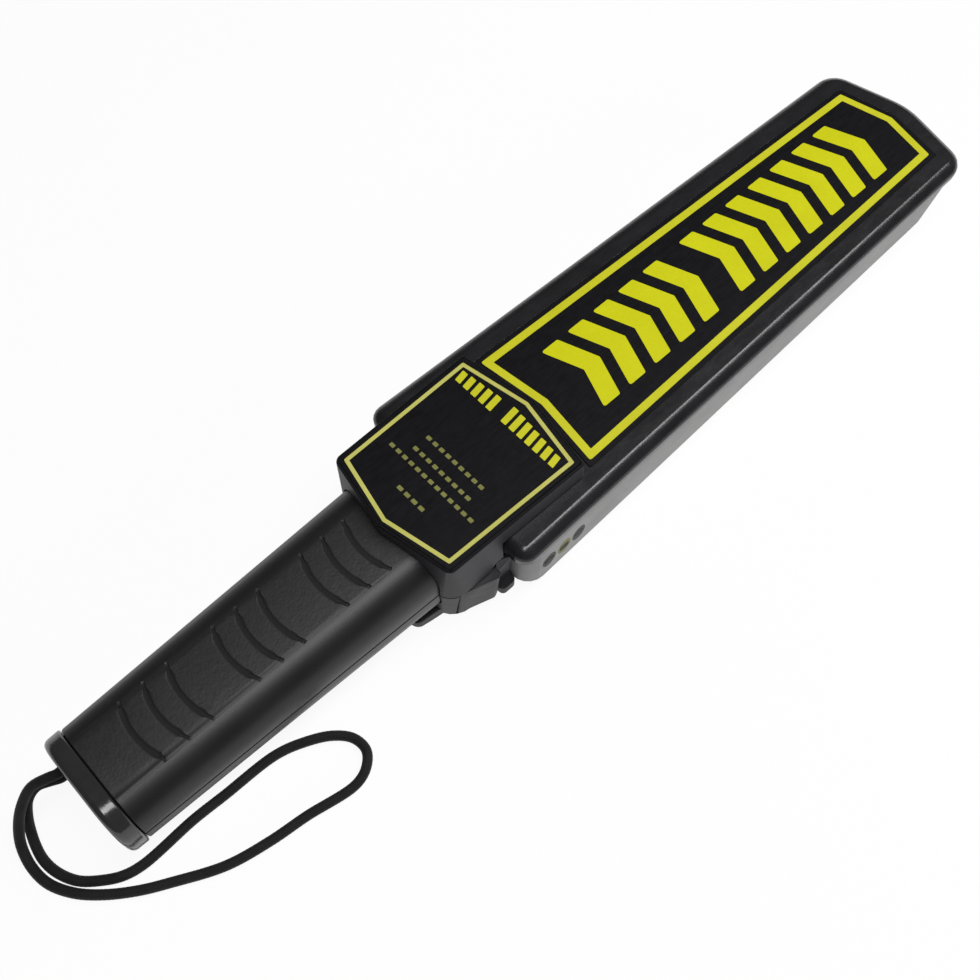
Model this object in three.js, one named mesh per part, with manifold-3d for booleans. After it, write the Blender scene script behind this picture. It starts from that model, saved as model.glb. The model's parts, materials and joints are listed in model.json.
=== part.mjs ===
// Hand-held metal detector wand: a flat search paddle, a six-sided neck housing, a tapered grip
// with a battery bay, a pull-off end cap and a wrist cord. Millimetres, +Z up, +X towards the tip.
// The wand lies on its back: the labelled faces look up and the flat undersides rest on Z = 0.
// Inside this file X runs from 0 at the cap's end face, and the last lines centre the wand on X.
import * as THREE from "three";
import { mergeVertices } from "three/addons/utils/BufferGeometryUtils.js";
import Module from "manifold-3d";

const wasm = await Module();
wasm.setup();

// Overall sizes
const overallLength = 411.2;
const neckHeight = 45;
const paddleNeckWidth = 81.4;
const paddleTipWidth = 69.2;
const paddleHeight = 36;

// Clearances and helpers for cuts
const gap = 0.3;
const looseGap = 0.5;
const turningGap = 0.16;
const partingGap = 0.3;
const overrun = 4;
const weld = 0.4;

// Paddle: a grey shell with a black cover that overhangs it
const paddlePoint = 7.6;
const paddleNeckRadius = 5.5;
const paddleTipRadius = 10;
const paddleApexRadius = 30;
const coverHeight = 6.1;
const paddleWall = 2;
const shellSetback = 4.5;
const shellTopInset = 1;
const shellNeckInset = 2.2;
const shellTipInset = 4.2;
const shellNeckRadius = 8;
const shellEdge = 3.5;
const shellFloor = 2.2;
const shellFloorChamfer = 2.4;
const coverWall = 2;
const crownInset = 4.6;
const crownDrop = 3.4;
const crownShares = [[0, 0], [0.32, 0.09], [0.62, 0.33], [0.85, 0.64], [0.96, 0.85], [1, 1]];
const coverRim = 1.4;
const coverRimReach = 1.9;

// Window for the cables in the paddle's end wall, and the tongue that the neck clamps
const cableWindowMargin = 1.4;
const cableWindowHeight = 12;
const cableWindowDrop = 2;
const tongueMargin = 2.1;
const tongueSideInset = 12.4;
const tongueThickness = 2.3;

// Case screws and the bosses that take them
const screwHeadRadius = 2.7;
const screwHeadHeight = 1.8;
const screwShankRadius = 1.4;
const screwSink = 1.2;
const screwTopMargin = 1.2;
const bossWall = 2.1;
const screwBoardMargin = 2.2;
const paddleScrewNeckSideInset = 10.2;
const paddleScrewTipInset = 28;
const paddleScrewTipSideInset = 9.1;
const neckScrewInset = 11.5;
const neckScrewSpread = 9;

// Neck housing: two halves with drafted walls, pointed at both ends in plan
const neckPoint = 5.6;
const neckRoomMargin = 0.1;
const hoodLength = 38.8;
const neckHandleWidth = 60.8;
const neckTipWidth = 63.2;
const neckParting = 22.5;
const neckWall = 2.4;
const neckTopDraft = 1.1;
const neckTopEdge = 0.5;
const neckTopEdgeDrop = 0.8;
const neckBottomDraft = 1.6;
const neckBottomEdge = 1.2;
const neckBottomEdgeRise = 1.4;
const neckCornerRadius = 4;
const neckFootCornerRadius = 12;
const neckPointRadius = 5;
const hoodCornerRadius = 2.5;

// Labels: thin printed plates let into the paddle's cover and the neck's cover
const labelThickness = 0.4;
const labelRecess = 0.3;
const labelMargin = 0.2;
const neckLabelInset = 2.2;
const neckLabelRadius = 0.8;
const paddleLabelStartInset = 42;
const paddleLabelDent = 3.6;
const paddleLabelEndInset = 10;
const paddleLabelPoint = 5;
const paddleLabelNeckInset = 11;
const paddleLabelTipInset = 10;
const paddleLabelRadius = 0.8;

// Grip: two half shells that taper towards the cap
const handleNeckInset = 5.7;
const handleCapWidth = 43;
const handleNeckHeight = 33;
const handleCapHeight = 30;
const handleCornerRadius = 12;
const handleWall = 2;
const handleReach = 3.9;
const handleFlange = 0.9;
const handleFlangeLength = 2;
const ribThickness = 1.6;
const ribWeld = 0.8;
const cableChannelDepth = 4.5;
const cableChannelHeight = 4;

// Finger grooves: three groups of three arcs across the top of the grip
const grooveWidth = 1.1;
const grooveDepth = 0.7;
const grooveRadius = 29;
const grooveHalfSpan = 12.4;
const groovePitch = 9.15;
const grooveFirstInset = 15.9;
const grooveLastInset = 7.3;
const groovesInGroup = 3;
const grooveGroups = 3;

// Fairing under the grip where it enters the neck
const fairingLength = 20;
const fairingPoint = 6.4;
const fairingNoseInset = 2.5;
const fairingInset = 1;
const fairingNoseRadius = 3.2;
const fairingPointRadius = 30;
const fairingNoseThickness = 2.2;

// End cap with its spigot, and the slot for the wrist cord
const capLength = 6.7;
const capOverhang = 0.6;
const capEdge = 2.2;
const capFloor = 2.4;
const spigotLength = 12.3;
const spigotWall = 1.8;
const cordDiameter = 3.6;
const cordSlotInset = 9.5;
const cordStrandPitch = 4.2;
const cordSlotMargin = 0.35;
const knotRadius = 4.3;
const knotLengthShare = 0.9;
const knotHeight = 11;

// What the grip holds, one behind the other: battery, snap connector, screw, motor, weight, screw
const batteryMargin = 5;
const rearScrewLap = 0.5;
const motorMargin = 1.7;
const weightMargin = 2.2;
const handleEndMargin = 7.2;

// Nine-volt battery, its snap connector and the ribs that hold them
const batteryLength = 46;
const batteryWidth = 26.2;
const batteryHeight = 17;
const batteryRadius = 2;
const terminalRadius = 3.9;
const terminalHeight = 2.6;
const terminalPitch = 12.7;
const snapThickness = 5;
const snapMargin = 0.4;
const batteryRibShares = [0.09, 0.5, 0.91];

// Vibration motor with its eccentric weight
const motorLength = 17;
const motorRadius = 5.5;
const motorShaftRadius = 1;
const motorShaftEngagement = 4;
const weightClearance = 2;
const weightLength = 5;
const weightRadius = 5;
const weightHubRadius = 2.2;
const motorRibShares = [0.2, 0.8];
const motorRibWall = 3;

// Circuit board
const boardThickness = 1.6;
const boardHeight = 12;
const boardButtonMargin = 0.34;
const boardRearMargin = 3.4;
const boardStepMargin = 1;
const boardFrontInset = 39.5;
const boardPostRadius = 2.2;
const boardPostInset = 4.5;
const chipSize = 10;
const chipThickness = 1.8;
const chipInset = 26;
const chipOffset = 14;

// Sensitivity button: a lever in the right wall, hinged on an upright pin
const buttonPivotInset = 16.8;
const buttonPivotDepth = 5.1;
const buttonLength = 13.4;
const buttonRearLength = 2.5;
const buttonProud = 3.1;
const buttonCrestInset = 2.4;
const buttonRiseShare = 0.35;
const buttonRiseProud = 0.7;
const buttonTailSink = 0.8;
const buttonInnerFace = 1;
const buttonFloor = 2.4;
const buttonCornerRadius = 0.9;
const buttonRiseRadius = 2.7;
const buttonCrestRadius = 1.8;
const buttonSlit = 0.6;
const buttonPocketDepth = 8;
const pinRadius = 1;
const pinSocket = 1.6;
const pinTopSocket = 3.2;
const pinBossRadius = 2.8;
const pinBossHeight = 7;
const guardProud = 4.1;
const guardRadius = 2;
const guardHeight = 4.6;
const guardBase = 0.9;
const scoopRadius = 8;
const scoopDepth = 1.5;
const scoopInset = 1.8;

// Return spring of the button
const springInset = 8.4;
const springHeight = 7;
const springRadius = 1.9;
const springWire = 0.5;
const springTurns = 4;
const springSeatWall = 1.4;
const springSeatWidth = 8;
const springSeatMargin = 0.8;
const springLength = 3.2;

// Push switch behind the button
const switchInset = 7.5;
const switchWidth = 6;
const switchDepth = 3.6;
const switchHeight = 6;
const plungerRadius = 1.6;
const plungerLength = 3.3;
const plungerProud = 1.4;
const plungerTravel = 0.9;

// Mode switch in the left wall: a sliding knob and the switch that it works
const modePadInset = 0.6;
const modeTravel = 3;
const modeKnobLength = 8;
const modeKnobHeight = 6.4;
const modeKnobThickness = 2;
const modeRidgeHeight = 0.6;
const modeRidgeWidth = 0.8;
const modeRidgePitch = 1.7;
const modeRidges = 4;
const modePocketDepth = 2.7;
const modeWall = 2.4;
const modePadMargin = 1.6;
const modeStem = 2.2;
const modeStemEngagement = 1.7;
const modeSwitchLength = 13;
const modeSwitchDepth = 5;
const modeSwitchHeight = 6;
const modeSwitchGap = 0.8;

// Three signal lamps behind small windows in the paddle's right wall
const lampFirstInset = 14.6;
const lampPitch = 7.45;
const lampHeight = 15;
const lampWindowLength = 4.2;
const lampWindowHeight = 2.8;
const lampWindowFlat = 0.4;
const lampProud = 0.25;
const lampRadius = 1.5;
const lampRimRadius = 1.9;
const lampRimLength = 0.8;
const lampLength = 4.6;
const lampTipMargin = 0.7;

// Speaker and its grille in the paddle's floor
const speakerEndMargin = 3.9;
const speakerPostMargin = 0.4;
const speakerRadius = 14;
const speakerFrameHeight = 2.4;
const speakerMagnetRadius = 8;
const speakerHeight = 6;
const speakerRingWall = 1.3;
const speakerRingHeight = 3.2;
const grilleSlotWidth = 1.6;
const grilleEdge = 2.1;
const grilleSlots = 7;
const grilleRadius = 12;

// Search coils on their carrier
const coilStartMargin = 0.2;
const coilEndMargin = 2.2;
const coilNeckInset = 10.7;
const coilTipInset = 9.1;
const coilCornerRadius = 16;
const coilBand = 2.4;
const coilHeight = 3.4;
const carrierMargin = 1;
const carrierThickness = 1.8;
const carrierWall = 1.5;
const carrierStep = 2.6;
const carrierWebWidth = 5;

// Facets
const cornerSteps = 5;
const crownSteps = 4;
const roundSides = 20;
const smallSides = 12;
const cordSides = 8;
const cordSteps = 66;
const wireSides = 5;
const stepsPerTurn = 8;
const labelSteps = 2;
const windowSteps = 3;
const grooveSteps = 6;

// Places worked out from the sizes, from the cap towards the tip
const bossRadius = screwHeadRadius + bossWall;
const handleStart = capLength + gap;
const batteryStart = capLength + spigotLength + batteryMargin;
const snapRibX = batteryStart + batteryLength + snapThickness + gap * 2 + ribThickness / 2;
const handleScrewRearX = snapRibX + ribThickness / 2 + bossRadius - rearScrewLap;
const motorStart = handleScrewRearX + bossRadius + motorMargin;
const motorEnd = motorStart + motorLength;
const weightStart = motorEnd + weightClearance;
const handleScrewFrontX = weightStart + weightLength + weightMargin + bossRadius;
const handleEnd = handleScrewFrontX + bossRadius + handleEndMargin;
const neckCorner = handleEnd - handleReach;
const neckStart = neckCorner - neckPoint;
const neckRoom = buttonPivotInset + buttonRearLength + buttonSlit + neckRoomMargin;
const paddleStart = handleEnd + neckRoom;
const hoodCorner = paddleStart + hoodLength;
const paddleShoulder = overallLength - paddlePoint;
const grooveFirstX = handleStart + grooveFirstInset;
const grooveRun = neckStart - grooveLastInset - grooveFirstX - (groovesInGroup - 1) * groovePitch;
const grooveGroupPitch = grooveRun / (grooveGroups - 1);

const boardStepInset = shellSetback + paddleWall + boardStepMargin;
const speakerRingOuter = speakerRadius + gap + speakerRingWall;
const speakerInset = shellSetback + paddleWall + speakerEndMargin + speakerRingOuter;
const paddleScrewNeckInset = boardFrontInset + screwBoardMargin + bossRadius;
const coilStartInset = paddleScrewNeckInset + bossRadius + coilStartMargin + carrierMargin;
const coilEndInset = paddleScrewTipInset + bossRadius + coilEndMargin + carrierMargin;

// Widths worked out from what carries them
const handleNeckWidth = neckHandleWidth - handleNeckInset * 2;
const fairingWidth = handleNeckWidth - fairingInset * 2;
const fairingNoseWidth = handleNeckWidth - fairingNoseInset * 2;
const cableChannelInner = handleCapWidth / 2 - cableChannelDepth;
const tongueWidth = neckHandleWidth - tongueSideInset * 2;
const cordSlotY = handleCapWidth / 2 - cordSlotInset;
const paddleScrewNeckSpread = paddleNeckWidth / 2 - paddleScrewNeckSideInset;
const paddleScrewTipSpread = paddleTipWidth / 2 - paddleScrewTipSideInset;
const paddleLabelNeckWidth = paddleNeckWidth - paddleLabelNeckInset * 2;
const paddleLabelTipWidth = paddleTipWidth - paddleLabelTipInset * 2;
const coilNeckWidth = paddleNeckWidth - coilNeckInset * 2;
const coilTipWidth = paddleTipWidth - coilTipInset * 2;

// Heights worked out from the sizes
const handleAxis = neckHeight / 2;
const paddleParting = paddleHeight - coverHeight;
const cableWindowFloor = boardHeight - cableWindowDrop;
const springSeatHeight = boardHeight - springSeatMargin;
const shellStart = paddleStart + shellSetback;
const neckFront = paddleStart - gap;
const baseFront = shellStart - gap;
const shellTop = paddleParting - partingGap / 2;
const coverBottom = paddleParting + partingGap / 2;
const baseTop = neckParting - partingGap / 2;
const neckCoverBottom = neckParting + partingGap / 2;

// Solids from three.js geometries, and booleans

function solidFrom(geometry) {
  const bare = geometry.clone();
  for (const name of Object.keys(bare.attributes)) {
    if (name !== "position") {
      bare.deleteAttribute(name);
    }
  }
  const merged = mergeVertices(bare);
  return new wasm.Manifold(new wasm.Mesh({
    numProp: 3,
    vertProperties: merged.attributes.position.array,
    triVerts: new Uint32Array(merged.index.array),
  }));
}

function geometryFrom(solid) {
  const mesh = solid.getMesh();
  const geometry = new THREE.BufferGeometry();
  geometry.setAttribute("position", new THREE.BufferAttribute(mesh.vertProperties, 3));
  geometry.setIndex(new THREE.BufferAttribute(mesh.triVerts, 1));
  return geometry;
}

function joined(first, ...others) {
  return others.reduce((whole, other) => whole.add(other), first);
}

function without(first, ...tools) {
  return tools.reduce((whole, tool) => whole.subtract(tool), first);
}

function block(x0, x1, y0, y1, z0, z1) {
  const geometry = new THREE.BoxGeometry(x1 - x0, y1 - y0, z1 - z0);
  geometry.translate((x0 + x1) / 2, (y0 + y1) / 2, (z0 + z1) / 2);
  return solidFrom(geometry);
}

function post(x, y, z0, z1, radius, sides = smallSides) {
  const geometry = new THREE.CylinderGeometry(radius, radius, z1 - z0, sides);
  geometry.rotateX(Math.PI / 2);
  geometry.translate(x, y, (z0 + z1) / 2);
  return solidFrom(geometry);
}

// A bar that lies along X
function rod(x0, x1, y, z, radius, sides = smallSides) {
  const geometry = new THREE.CylinderGeometry(radius, radius, x1 - x0, sides);
  geometry.rotateZ(Math.PI / 2);
  geometry.translate((x0 + x1) / 2, y, z);
  return solidFrom(geometry);
}

// A bar that lies along Y
function crossRod(x, y0, y1, z, radius, sides = smallSides) {
  const geometry = new THREE.CylinderGeometry(radius, radius, y1 - y0, sides);
  geometry.translate(x, (y0 + y1) / 2, z);
  return solidFrom(geometry);
}

// Outlines are lists of corners [u, v, radius], counterclockwise. An inset moves every side
// inwards by the same distance, and the corner radii follow.

function insetCorners(corners, inset) {
  return corners.map(([u, v, radius], i) => {
    const before = corners.at(i - 1);
    const after = corners[(i + 1) % corners.length];
    const into = new THREE.Vector2(u - before[0], v - before[1]).normalize();
    const out = new THREE.Vector2(after[0] - u, after[1] - v).normalize();
    const scale = inset / (1 + into.dot(out));
    const bend = Math.sign(into.cross(out)) || 1;
    return [
      u - (into.y + out.y) * scale,
      v + (into.x + out.x) * scale,
      radius - bend * inset,
    ];
  });
}

const smallestRadius = 0.2;

function outlinePoints(corners, inset = 0, steps = cornerSteps) {
  const inner = insetCorners(corners, inset);
  return inner.flatMap(([u, v, wanted], i) => {
    const corner = new THREE.Vector2(u, v);
    const before = new THREE.Vector2(...inner.at(i - 1)).sub(corner).normalize();
    const after = new THREE.Vector2(...inner[(i + 1) % inner.length]).sub(corner).normalize();
    const radius = Math.max(wanted, smallestRadius);
    const half = Math.acos(THREE.MathUtils.clamp(before.dot(after), -1, 1)) / 2;
    const middle = before.clone().add(after).normalize();
    const centre = corner.clone().addScaledVector(middle, radius / Math.sin(half));
    const from = corner.clone().addScaledVector(before, radius / Math.tan(half)).sub(centre);
    const to = corner.clone().addScaledVector(after, radius / Math.tan(half)).sub(centre);
    const arc = new THREE.EllipseCurve(
      centre.x, centre.y, radius, radius, from.angle(), to.angle(), before.cross(after) > 0);
    return arc.getPoints(steps);
  });
}

// A solid through outlines that all have as many points, each set in space by toSpace(point, index)
function loft(outlines, toSpace) {
  const count = outlines[0].length;
  const position = outlines.flatMap((outline, k) => outline.flatMap((point) => toSpace(point, k)));
  const index = [];
  for (let k = 0; k + 1 < outlines.length; k += 1) {
    for (let i = 0; i < count; i += 1) {
      const j = (i + 1) % count;
      const low = k * count;
      const high = low + count;
      index.push(low + i, low + j, high + j, low + i, high + j, high + i);
    }
  }
  for (const [a, b, c] of THREE.ShapeUtils.triangulateShape(outlines[0], [])) {
    index.push(a, c, b);
  }
  const last = (outlines.length - 1) * count;
  for (const [a, b, c] of THREE.ShapeUtils.triangulateShape(outlines.at(-1), [])) {
    index.push(last + a, last + b, last + c);
  }
  const geometry = new THREE.BufferGeometry();
  geometry.setAttribute("position", new THREE.Float32BufferAttribute(position, 3));
  geometry.setIndex(index);
  return solidFrom(geometry);
}

// Outline in plan, drawn upwards through levels [z, inset]
function stack(corners, levels, steps = cornerSteps) {
  const outlines = levels.map(([, inset]) => outlinePoints(corners, inset, steps));
  return loft(outlines, (point, k) => [point.x, point.y, levels[k][0]]);
}

// Levels of a quarter round that closes an outline upwards or downwards
function roundLevels(z, rise, startInset, width, steps = crownSteps) {
  return Array.from({ length: steps + 1 }, (unused, i) => {
    const turn = (i / steps) * (Math.PI / 2);
    return [z + rise * Math.sin(turn), startInset + width * (1 - Math.cos(turn))];
  });
}

// Paddle

// The point's corner lies ahead of the tip, so that its rounding ends at the overall length
const paddlePointTurn = Math.atan(paddlePoint * 2 / paddleTipWidth);
const paddlePointCorner = overallLength + paddleApexRadius * (1 / Math.cos(paddlePointTurn) - 1);

const paddleCorners = [
  [paddleStart, -paddleNeckWidth / 2, paddleNeckRadius],
  [paddleShoulder, -paddleTipWidth / 2, paddleTipRadius],
  [paddlePointCorner, 0, paddleApexRadius],
  [paddleShoulder, paddleTipWidth / 2, paddleTipRadius],
  [paddleStart, paddleNeckWidth / 2, paddleNeckRadius],
];

const paddleScrewPlaces = [
  [paddleStart + paddleScrewNeckInset, -paddleScrewNeckSpread],
  [paddleStart + paddleScrewNeckInset, paddleScrewNeckSpread],
  [overallLength - paddleScrewTipInset, -paddleScrewTipSpread],
  [overallLength - paddleScrewTipInset, paddleScrewTipSpread],
];

const screwHole = screwShankRadius + turningGap;
const screwSeat = screwSink + screwHeadHeight + turningGap;
const bossSplit = shellTop - coverRimReach;

function paddleHalfWidthAt(x) {
  const share = (x - paddleStart) / (paddleShoulder - paddleStart);
  return THREE.MathUtils.lerp(paddleNeckWidth, paddleTipWidth, share) / 2;
}

// The shell's outline at a height: its walls lean inwards towards the floor, most at the tip
function shellCornersAt(z) {
  const share = 1 - z / shellTop;
  const neckInset = THREE.MathUtils.lerp(shellTopInset, shellNeckInset, share);
  const tipInset = THREE.MathUtils.lerp(shellTopInset, shellTipInset, share);
  const neckHalf = paddleHalfWidthAt(shellStart) - neckInset;
  const tipHalf = paddleTipWidth / 2 - tipInset;
  return [
    [shellStart, -neckHalf, shellNeckRadius],
    [paddleShoulder - tipInset, -tipHalf, paddleTipRadius],
    [paddlePointCorner - tipInset, 0, paddleApexRadius],
    [paddleShoulder - tipInset, tipHalf, paddleTipRadius],
    [shellStart, neckHalf, shellNeckRadius],
  ];
}

function shellStack(levels) {
  const outlines = levels.map(([z, inset]) => outlinePoints(shellCornersAt(z), inset));
  return loft(outlines, (point, k) => [point.x, point.y, levels[k][0]]);
}

// Distance from the middle plane to the outside of the shell's side wall
function shellSideAt(x, z) {
  const share = (x - shellStart) / (paddleShoulder - shellStart);
  const corners = shellCornersAt(z);
  return -THREE.MathUtils.lerp(corners[0][1], corners[1][1], share);
}

function lampPlaces() {
  return [0, 1, 2].map((i) => paddleStart + lampFirstInset + i * lampPitch);
}

// The board ends at the feet of the lamps, and its narrow part beside the button
const lampFoot = shellSideAt(lampPlaces().at(-1), lampHeight) - paddleWall - lampTipMargin - lampLength;
const boardPaddleWidth = (lampFoot - gap) * 2;
const boardNeckWidth = (buttonPivotY() - buttonRearLength - boardButtonMargin) * 2;
const boardSide = boardPaddleWidth / 2 - boardPostInset;
const speakerOffset = boardSide - boardPostRadius - speakerPostMargin - speakerRingOuter;
const cableWindowWidth = boardNeckWidth + cableWindowMargin * 2;

function lampWindow(x, y0, y1, margin) {
  const lampWindowRadius = (lampWindowHeight - lampWindowFlat) / 2;
  const corners = [
    [-lampWindowLength / 2, -lampWindowHeight / 2, lampWindowRadius],
    [lampWindowLength / 2, -lampWindowHeight / 2, lampWindowRadius],
    [lampWindowLength / 2, lampWindowHeight / 2, lampWindowRadius],
    [-lampWindowLength / 2, lampWindowHeight / 2, lampWindowRadius],
  ];
  const outline = outlinePoints(corners, -margin, windowSteps);
  return loft([outline, outline], (point, k) => [
    x + point.x, k === 0 ? y1 : y0, lampHeight + point.y]);
}

function speakerGrille() {
  const middle = (grilleSlots - 1) / 2;
  const grilleSlotPitch = (grilleRadius - grilleEdge) / middle;
  const slots = Array.from({ length: grilleSlots }, (unused, i) => {
    const offset = (i - middle) * grilleSlotPitch;
    const half = Math.sqrt(grilleRadius ** 2 - offset ** 2) - grilleSlotWidth / 2;
    const x = paddleStart + speakerInset + offset;
    const corners = [
      [x - grilleSlotWidth / 2, speakerOffset - half, grilleSlotWidth / 2],
      [x + grilleSlotWidth / 2, speakerOffset - half, grilleSlotWidth / 2],
      [x + grilleSlotWidth / 2, speakerOffset + half, grilleSlotWidth / 2],
      [x - grilleSlotWidth / 2, speakerOffset + half, grilleSlotWidth / 2],
    ];
    return stack(corners, [[-overrun, 0], [shellFloor + overrun, 0]], windowSteps);
  });
  return joined(...slots);
}

function paddleShell() {
  const edgeLevels = roundLevels(shellEdge, -shellEdge, 0, shellEdge);
  const outside = shellStack([...edgeLevels.reverse(), [shellTop, 0]]);
  const inside = shellStack([
    [shellFloor, paddleWall + shellFloorChamfer],
    [shellFloor + shellFloorChamfer, paddleWall],
    [shellTop + overrun, paddleWall],
  ]);
  const bosses = paddleScrewPlaces.map(([x, y]) => post(
    x, y, shellFloor - weld, bossSplit, bossRadius, roundSides));
  const holes = paddleScrewPlaces.flatMap(([x, y]) => [
    post(x, y, -overrun, bossSplit + overrun, screwHole),
    post(x, y, -overrun, screwSeat, screwHeadRadius + gap, roundSides),
  ]);
  const boardRear = paddleStart + boardStepInset + boardPostInset;
  const boardFront = paddleStart + boardFrontInset - boardPostInset;
  const boardPosts = [boardRear, boardFront].flatMap((x) => [-boardSide, boardSide].map(
    (y) => post(x, y, shellFloor - weld, boardHeight - gap, boardPostRadius)));
  const speakerX = paddleStart + speakerInset;
  const ringTop = shellFloor + speakerRingHeight;
  const ringInner = speakerRadius + gap;
  const ring = post(speakerX, speakerOffset, shellFloor - weld, ringTop, speakerRingOuter, roundSides)
    .subtract(post(speakerX, speakerOffset, shellFloor, ringTop + overrun, ringInner, roundSides));
  const windows = lampPlaces().map((x) => {
    const side = shellSideAt(x, lampHeight);
    return lampWindow(x, -side - overrun, -side + paddleWall + overrun, turningGap);
  });
  const cableWindow = block(
    shellStart - overrun, shellStart + paddleWall + overrun,
    -cableWindowWidth / 2, cableWindowWidth / 2,
    cableWindowFloor, cableWindowFloor + cableWindowHeight);
  const tongueFloor = neckFloor + gap;
  const tongue = block(
    handleEnd + tongueMargin, shellStart + paddleWall,
    -tongueWidth / 2, tongueWidth / 2,
    tongueFloor, tongueFloor + tongueThickness);
  const tongueHoles = neckScrewPlaces.map(([x, y]) => post(
    x, y, tongueFloor - overrun, tongueFloor + tongueThickness + overrun, bossRadius + gap, roundSides));
  const tray = joined(outside.subtract(inside), ...bosses, ...boardPosts, ring, tongue);
  return without(tray, ...holes, ...tongueHoles, ...windows, cableWindow, speakerGrille());
}

const paddleLabelCorners = [
  [paddleStart + paddleLabelStartInset, -paddleLabelNeckWidth / 2, paddleLabelRadius],
  [overallLength - paddleLabelEndInset - paddleLabelPoint, -paddleLabelTipWidth / 2, paddleLabelRadius],
  [overallLength - paddleLabelEndInset, 0, paddleLabelRadius],
  [overallLength - paddleLabelEndInset - paddleLabelPoint, paddleLabelTipWidth / 2, paddleLabelRadius],
  [paddleStart + paddleLabelStartInset, paddleLabelNeckWidth / 2, paddleLabelRadius],
  [paddleStart + paddleLabelStartInset + paddleLabelDent, 0, paddleLabelRadius],
];

function paddleCover() {
  const crown = crownShares.map(([rise, inset]) => [
    paddleHeight - crownDrop * (1 - rise), crownInset * inset]);
  const outside = stack(paddleCorners, [[coverBottom, 0], ...crown]);
  const rimBottom = shellTop - coverRimReach;
  const rimInset = paddleWall + looseGap;
  const rimOutline = outlinePoints(shellCornersAt(shellTop), rimInset);
  const rim = loft([rimOutline, rimOutline], (point, k) => [
    point.x, point.y, k === 0 ? rimBottom : coverBottom + weld]);
  const hollowOutline = outlinePoints(shellCornersAt(shellTop), rimInset + coverRim);
  const hollowTop = paddleHeight - coverWall;
  const hollow = loft([hollowOutline, hollowOutline], (point, k) => [
    point.x, point.y, k === 0 ? rimBottom - overrun : hollowTop]);
  const bosses = paddleScrewPlaces.map(([x, y]) => post(
    x, y, bossSplit + gap, hollowTop + weld, bossRadius - gap, roundSides));
  const holes = paddleScrewPlaces.map(([x, y]) => post(
    x, y, bossSplit - overrun, paddleHeight - coverWall - screwTopMargin / 2, screwHole));
  const recess = stack(paddleLabelCorners, [
    [paddleHeight - labelRecess, -labelMargin],
    [paddleHeight + overrun, -labelMargin],
  ], labelSteps);
  const lid = joined(outside, rim).subtract(hollow);
  return without(joined(lid, ...bosses), ...holes, recess);
}

function paddleLabel() {
  const low = paddleHeight - labelRecess + turningGap;
  return stack(paddleLabelCorners, [[low, 0], [low + labelThickness, 0]], labelSteps);
}

// Neck housing

// The corners beside the grip are rounded more at the foot than at the top
function neckCornersAt(z) {
  const radius = THREE.MathUtils.lerp(neckFootCornerRadius, neckCornerRadius, z / neckHeight);
  return [
    [neckStart, 0, neckPointRadius],
    [neckCorner, -neckHandleWidth / 2, radius],
    [hoodCorner, -neckTipWidth / 2, hoodCornerRadius],
    [hoodCorner + neckPoint, 0, neckPointRadius],
    [hoodCorner, neckTipWidth / 2, hoodCornerRadius],
    [neckCorner, neckHandleWidth / 2, radius],
  ];
}

function neckStack(levels) {
  const outlines = levels.map(([z, inset]) => outlinePoints(neckCornersAt(z), inset));
  return loft(outlines, (point, k) => [point.x, point.y, levels[k][0]]);
}

const neckFloor = neckWall;
const neckScrewPlaces = [
  [paddleStart - neckScrewInset, -neckScrewSpread],
  [paddleStart - neckScrewInset, neckScrewSpread],
];

// Distance from the wand's middle plane to the outside of the neck's side wall
function neckSideAt(x, z) {
  const share = (x - neckCorner) / (hoodCorner - neckCorner);
  const half = THREE.MathUtils.lerp(neckHandleWidth, neckTipWidth, share) / 2;
  const drop = (neckParting - z) / (neckParting - neckBottomEdgeRise);
  return half - neckBottomDraft * Math.max(drop, 0);
}

// The grip's profile in Y and Z at a station, moved inwards by an inset
function handleProfile(x, inset) {
  const share = (x - handleStart) / (handleEnd - handleStart);
  const halfWidth = THREE.MathUtils.lerp(handleCapWidth, handleNeckWidth, share) / 2;
  const halfHeight = THREE.MathUtils.lerp(handleCapHeight, handleNeckHeight, share) / 2;
  const corners = [
    [-halfWidth, -halfHeight, handleCornerRadius],
    [halfWidth, -halfHeight, handleCornerRadius],
    [halfWidth, halfHeight, handleCornerRadius],
    [-halfWidth, halfHeight, handleCornerRadius],
  ];
  return outlinePoints(corners, inset);
}

function handleForm(stations) {
  const outlines = stations.map(([x, inset]) => handleProfile(x, inset));
  return loft(outlines, (point, k) => [stations[k][0], point.x, handleAxis + point.y]);
}

function handleHalfHeightAt(x) {
  const share = (x - handleStart) / (handleEnd - handleStart);
  return THREE.MathUtils.lerp(handleCapHeight, handleNeckHeight, share) / 2;
}

function neckOutside() {
  return neckStack([
    [0, neckBottomDraft + neckBottomEdge],
    [neckBottomEdgeRise, neckBottomDraft],
    [neckParting, 0],
    [neckHeight - neckTopEdgeDrop, neckTopDraft],
    [neckHeight, neckTopDraft + neckTopEdge],
  ]);
}

function neckInside() {
  return neckStack([
    [neckFloor, neckBottomDraft + neckWall],
    [neckParting, neckWall],
    [neckHeight - neckWall, neckTopDraft + neckWall],
  ]);
}

// Room for the grip through the neck's end wall, wider behind it for the grip's flange
function handlePassage() {
  const flangeStart = handleEnd - handleFlangeLength - gap;
  return joined(
    handleForm([[neckStart - overrun, -gap], [handleEnd + gap, -gap]]),
    handleForm([[flangeStart, -handleFlange - gap], [handleEnd + gap, -handleFlange - gap]]));
}

function buttonPocket() {
  const rear = paddleStart - buttonPivotInset - buttonRearLength - buttonSlit;
  const front = paddleStart - buttonPivotInset + buttonLength + buttonSlit;
  const side = neckSideAt(rear, neckParting);
  return block(rear, front, -side - overrun, -side + buttonPocketDepth, buttonFloor, neckParting);
}

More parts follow.
